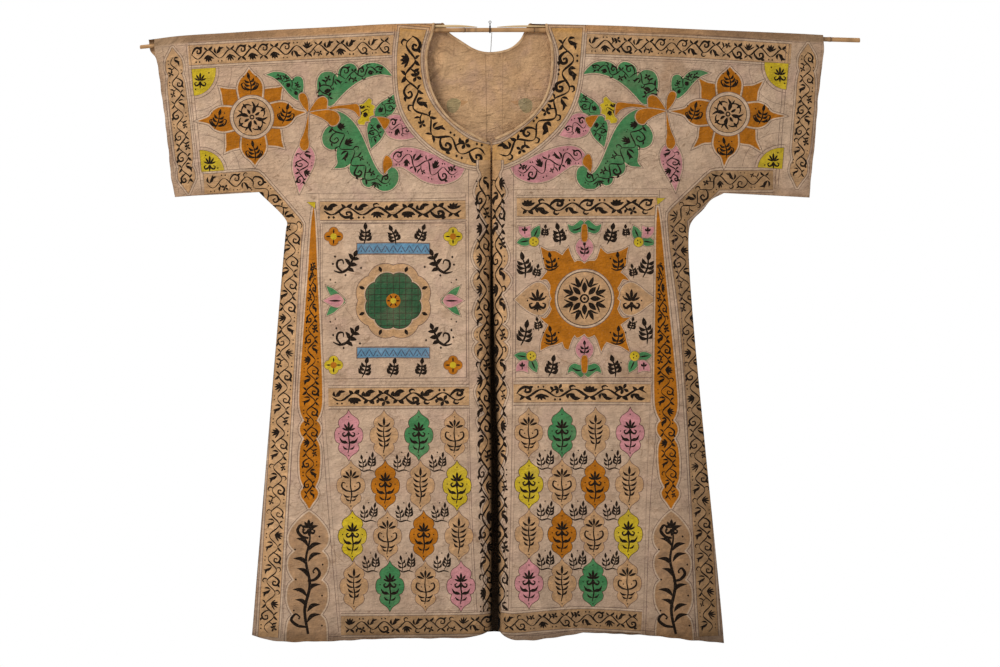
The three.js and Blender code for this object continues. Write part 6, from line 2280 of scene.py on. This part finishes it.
def finish_piece(obj, nodes):
    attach(obj, "root")
    if nodes:
        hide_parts(*nodes)
    return obj


def joined(name, parts):
    """One object made of several."""
    bpy.ops.object.select_all(action="DESELECT")
    for o in parts:
        o.select_set(True)
    bpy.context.view_layer.objects.active = parts[0]
    bpy.ops.object.join()
    parts[0].name = name
    parts[0].data.name = name
    return parts[0]


# the rolled edge of the neck: a flattened roll that wraps the cloth's edge
def neck_roll(name, panel, side, edge, inward, material, seed, extra=None):
    rnd = random.Random(seed)
    p = np.asarray(edge, float)
    step = np.linalg.norm(np.diff(p, axis=0), axis=1)
    at = np.concatenate([[0], np.cumsum(step)])
    n = int(at[-1] / 1.3)
    t = np.linspace(0, at[-1], n)
    p = np.stack([np.interp(t, at, p[:, i]) for i in (0, 1)], -1)
    q = np.stack([np.interp(t, at, np.asarray(inward)[:, i]) for i in (0, 1)], -1)
    q /= np.linalg.norm(q, axis=1, keepdims=True)
    wobble = sum(np.sin(t / rnd.uniform(5, 16) + rnd.random() * 6) for _ in range(4)) / 4
    sides = 14
    angles = np.arange(sides) * 2 * math.pi / sides
    rings = []
    for i in range(n):
        a = 2.0 * (1 + 0.10 * wobble[i])
        b = 1.02 * (1 + 0.08 * wobble[i])
        d = 0.95 + a * np.cos(angles)
        w = 0.12 + b * np.sin(angles)
        u = p[i, 0] + q[i, 0] * d
        s = np.maximum(p[i, 1] + q[i, 1] * d, FOLD_START)
        rings.append((u, s, w))
    u = np.array([r[0] for r in rings])
    s = np.array([r[1] for r in rings])
    w = np.array([r[2] for r in rings])
    place, out = frame_at(panel, side, u.ravel(), s.ravel())
    points = (place + out * w.ravel()[:, None]).reshape(n, sides, 3)
    stitches_and_join_shade = np.zeros((n, sides))
    phase = (t % 4.6) / 4.6
    # a dark line where the roll meets the cloth: painted shade in that join, with darker stitches along it
    inner = np.cos(angles) > 0.86
    stitches_and_join_shade[:, inner] = np.where(phase < 0.62, 0.85, 0.35)[:, None]
    return swept(name, points, material, stitches_and_join_shade, t)


def edge_normals(points, toward):
    p = np.asarray(points, float)
    d = np.gradient(p, axis=0)
    n = np.stack([-d[:, 1], d[:, 0]], -1)
    n /= np.linalg.norm(n, axis=1, keepdims=True)
    flip = np.array([1.0 if toward(a, b) else -1.0 for a, b in zip(p, n)])
    return n * flip[:, None]


roll_material = rolled_cotton("rolled_edge", (214, 180, 140), (170, 130, 92))
for side, word in ((-1, "right"), (1, "left")):
    edge = pieces[f"front_{word}"][3][:-2]
    normals = edge_normals(edge, lambda a, b, k=side: b[0] * k > 0)
    roll = neck_roll(f"neck_roll_{word}", "front", side, edge, normals, roll_material, 70 + side)
    finish_piece(roll, [f"neck_edge_{word}"])
edge = pieces["back"][3]
normals = edge_normals(edge, lambda a, b: b[1] > 0)
normals[0] = (-1, 0.15)
normals[-1] = (1, 0.15)
roll = neck_roll("neck_roll_back", "back", 0, edge, normals, roll_material, 75)
finish_piece(roll, ["neck_edge_back"])

# rod
rod_z, rod_r = Curve(ROD), Curve(ROD, 0, 2)
x = np.concatenate([[-490.0, -489.7, -489.2], np.arange(-488, 516.5, 1.25), [517.2, 517.7, 518.0]])
rnd = random.Random(3)
radius = rod_r(x)
mark = np.zeros(len(x))
for jx, swell in ROD_JOINTS:
    d = x - jx
    radius = radius + swell * np.exp(-((d / 2.0) ** 2)) - 0.16 * np.exp(-(((d - 1.6) / 0.8) ** 2))
    mark = np.maximum(mark, 0.75 * np.exp(-(((d - 1.4) / 1.0) ** 2)) + 0.32 * np.exp(-(((d + 2.2) / 4.5) ** 2)))
for bx, size, depth in ((-70, 5, 0.45), (-30, 3, 0.5), (66, 4, 0.45), (24, 6, 0.2), (470, 5, 0.5), (-470, 4, 0.3), (504, 5, 0.3), (-20, 2, 0.4)):
    mark = np.maximum(mark, depth * np.exp(-(((x - bx) / size) ** 2)))
ends = np.minimum(1, (np.minimum(x + 490, 518 - x) / 0.8)) ** 0.5
radius = radius * (0.72 + 0.28 * np.clip(ends, 0, 1))
sag = np.stack([x, 0.10 * np.sin(x / 37.0), rod_z(x) + 0.10 * np.sin(x / 23.0 + 1)], -1)
sides = 22
angles = np.arange(sides) * 2 * math.pi / sides
knobble = 1 + 0.022 * np.sin(3 * angles)[None, :] * np.sin(x / 31.0)[:, None]
rings = np.stack([np.repeat(sag[:, 0:1], sides, 1),
                  sag[:, 1:2] + radius[:, None] * knobble * np.cos(angles)[None, :],
                  sag[:, 2:3] + radius[:, None] * knobble * np.sin(angles)[None, :]], -1)
rod = swept("rod_bamboo", rings, bamboo("bamboo_rod", (206, 162, 112), (168, 122, 76), 0.46), np.clip(mark, 0, 1))
finish_piece(rod, ["rod"])

# slats
slat_material = bamboo("bamboo_slat", (232, 208, 168), (206, 172, 122), 0.55)
for word, rows in (("right", SLAT_RIGHT), ("left", SLAT_LEFT)):
    tall_of = Curve(rows)
    x = np.linspace(rows[0][0], rows[-1][0], 190)
    under = rod_z(x) + rod_r(x) + 0.62
    tall = np.minimum(tall_of(x), crest_z(x) - CAD_WALL - 0.72 - under)
    tall = np.maximum(tall, 0.35)
    half = 2.3 * (0.55 + 0.45 * np.minimum(1, tall / 2.5))
    share = (x - x[0]) / (x[-1] - x[0])
    tip = np.minimum(share, 1 - share)
    half = half * np.minimum(1, 0.35 + tip * 30)
    sides = 16
    angles = np.arange(sides) * 2 * math.pi / sides
    c, s = np.cos(angles), np.sin(angles)
    boxy = (np.abs(c) ** 5 + np.abs(s) ** 5) ** (-1 / 5)
    split = 0.06 * np.sin(x / 9.0)[:, None] * np.sin(5 * angles)[None, :]
    rings = np.stack([np.repeat(x[:, None], sides, 1),
                      half[:, None] * (boxy * c)[None, :] * (1 - 0.12 * (s > 0.2))[None, :],
                      (under + tall / 2)[:, None] + (tall / 2)[:, None] * ((boxy * s)[None, :] + split)], -1)
    slat = swept(f"slat_{word}_bamboo", rings, slat_material, 0.15 * (np.abs(np.sin(x / 47.0)) > 0.985))
    finish_piece(slat, [f"slat_{word}"])

# wire eye, twisted shank, knot and turns
wire = dark_wire("dark_wire")
EYE_R, WIRE_R = 1.6, 0.42
rod_top, rod_rad = float(rod_z(0)), float(rod_r(0))
turn_r = rod_rad + 0.3 + 0.6 + 0.12
parts = []
t = np.linspace(0, 2 * math.pi, 49)[:-1]
ring = np.stack([EYE_R * np.sin(t), 0.05 * np.sin(2 * t), EYE_R * np.cos(t)], -1)
tangent = np.stack([np.cos(t), 0 * t, -np.sin(t)], -1)
radial = np.stack([np.sin(t), 0 * t, np.cos(t)], -1)
angles = np.arange(12) * 2 * math.pi / 12
eye = ring[:, None] + WIRE_R * (np.cos(angles)[None, :, None] * radial[:, None] + np.sin(angles)[None, :, None] * np.array([0, 1.0, 0])[None, None])
parts.append(swept("eye_ring", eye, wire, closed=True, caps=False))
top, foot = -EYE_R + 0.2, rod_top + turn_r
for phase in (0, math.pi):
    z = np.linspace(top, foot - 0.2, 60)
    spin = (top - z) / (top - foot) * 5.5 * math.pi + phase
    line = np.stack([0.36 * np.cos(spin), 0.36 * np.sin(spin), z], -1)
    parts.append(swept("eye_strand", rings_along(line, WIRE_R * 0.92, 10), wire))
z = np.linspace(foot + 1.7, foot + 0.1, 70)
spin = np.linspace(0, 6.2 * math.pi, 70)
line = np.stack([0.86 * np.cos(spin), 0.86 * np.sin(spin), z], -1)
parts.append(swept("eye_knot", rings_along(line, WIRE_R * 0.9, 10), wire))
for shift, lean in ((-0.62, 0.25), (0.62, -0.2)):
    t = np.linspace(0, 2 * math.pi, 65)[:-1]
    ring = np.stack([shift + lean * np.sin(t), (turn_r - 0.16) * np.sin(t), rod_top + (turn_r - 0.16) * np.cos(t)], -1)
    closed_line = ring
    tan = np.roll(closed_line, -1, 0) - np.roll(closed_line, 1, 0)
    tan /= np.linalg.norm(tan, axis=1, keepdims=True)
    rad_dir = np.stack([0 * t, np.sin(t), np.cos(t)], -1)
    side_dir = np.cross(tan, rad_dir)
    loop = ring[:, None] + 0.44 * (np.cos(angles)[None, :, None] * rad_dir[:, None] + np.sin(angles)[None, :, None] * side_dir[:, None])
    parts.append(swept("eye_turn", loop, wire, closed=True, caps=False))
eye = joined("wire_eye", parts)
finish_piece(eye, ["hanging_eye"])

# tie thread: two plies twisted
start = np.array([2.6, 0.0, float(rod_z(2.6) - rod_r(2.6)) - 0.3])
neck_z = float(Curve(NECK_BACK)(0.6))
end = np.array([0.9, float(half_depth(np.array(0.6), np.array(neck_z))) + 0.2, neck_z + 1.2])
parts = []
axis = (end - start) / np.linalg.norm(end - start)
across = np.cross(axis, (0, 1.0, 0))
across /= np.linalg.norm(across)
third = np.cross(axis, across)
t = np.linspace(0, 1, 120)
for phase in (0, math.pi):
    spin = t * 15 * math.pi + phase
    line = start + (end - start) * t[:, None] + 0.23 * (np.cos(spin)[:, None] * across + np.sin(spin)[:, None] * third)
    parts.append(swept("ply", rings_along(line, 0.24, 8), spun_thread("spun_thread") if phase == 0 else parts[0].data.materials[0]))
thread = joined("tie_thread_ply", parts)
finish_piece(thread, ["tie_thread"])

# each cloth piece's object, flat area and flat box, read back; nothing further is done with them
for key, name in (("front_right", "cloth_front_right"), ("front_left", "cloth_front_left"), ("back", "cloth_back")):
    obj, area, box, _ = pieces[key]

# =====================================================================================
# Stage, light and camera
# =====================================================================================


def set_world():
    world = bpy.data.worlds.new("studio")
    bpy.context.scene.world = world
    world.use_nodes = True
    tree = world.node_tree
    tree.nodes.clear()
    out = tree.nodes.new("ShaderNodeOutputWorld")
    seen = tree.nodes.new("ShaderNodeBackground")
    seen.inputs["Color"].default_value = (1, 1, 1, 1)
    seen.inputs["Strength"].default_value = 1.0
    fill = tree.nodes.new("ShaderNodeBackground")
    fill.inputs["Color"].default_value = (1.0, 0.985, 0.965, 1)
    fill.inputs["Strength"].default_value = 0.52
    path = tree.nodes.new("ShaderNodeLightPath")
    mix = tree.nodes.new("ShaderNodeMixShader")
    tree.links.new(path.outputs["Is Camera Ray"], mix.inputs["Fac"])
    tree.links.new(fill.outputs["Background"], mix.inputs[1])
    tree.links.new(seen.outputs["Background"], mix.inputs[2])
    tree.links.new(mix.outputs["Shader"], out.inputs["Surface"])


def lamp(name, place, aim, size, power, colour=(1, 1, 1)):
    data = bpy.data.lights.new(name, "AREA")
    data.shape = "RECTANGLE"
    data.size, data.size_y = size
    data.energy = power
    data.color = colour
    obj = bpy.data.objects.new(name, data)
    bpy.context.scene.collection.objects.link(obj)
    obj.location = place
    obj.rotation_euler = (Vector(aim) - Vector(place)).to_track_quat("-Z", "Y").to_euler()
    return obj


set_world()
lamp("key", (-2.1, -2.1, 1.55), (-0.05, 0, -0.35), (1.1, 0.9), 62, (1.0, 0.97, 0.92))
lamp("back_fill", (1.6, 2.6, 1.3), (0, 0, -0.4), (1.6, 1.4), 30, (1.0, 0.98, 0.95))

floor = new_object("floor", [(-1.4, -1.1, -1.12), (1.4, -1.1, -1.12), (1.4, 1.1, -1.12), (-1.4, 1.1, -1.12)],
                   [(0, 1, 2, 3)], plain("floor_pale", (235, 233, 230), 0.8))

camera_data = bpy.data.cameras.new("camera")
camera_data.sensor_width = 36
camera_data.lens = 36 * 4.0 / 1.4
camera_data.clip_end = 50
camera = bpy.data.objects.new("camera", camera_data)
bpy.context.scene.collection.objects.link(camera)
camera.location = (0.014, -4.0, -0.436)
camera.rotation_euler = (math.pi / 2, 0, 0)
bpy.context.scene.camera = camera
bpy.context.scene.view_settings.view_transform = "Standard"
bpy.context.scene.view_settings.look = "None"
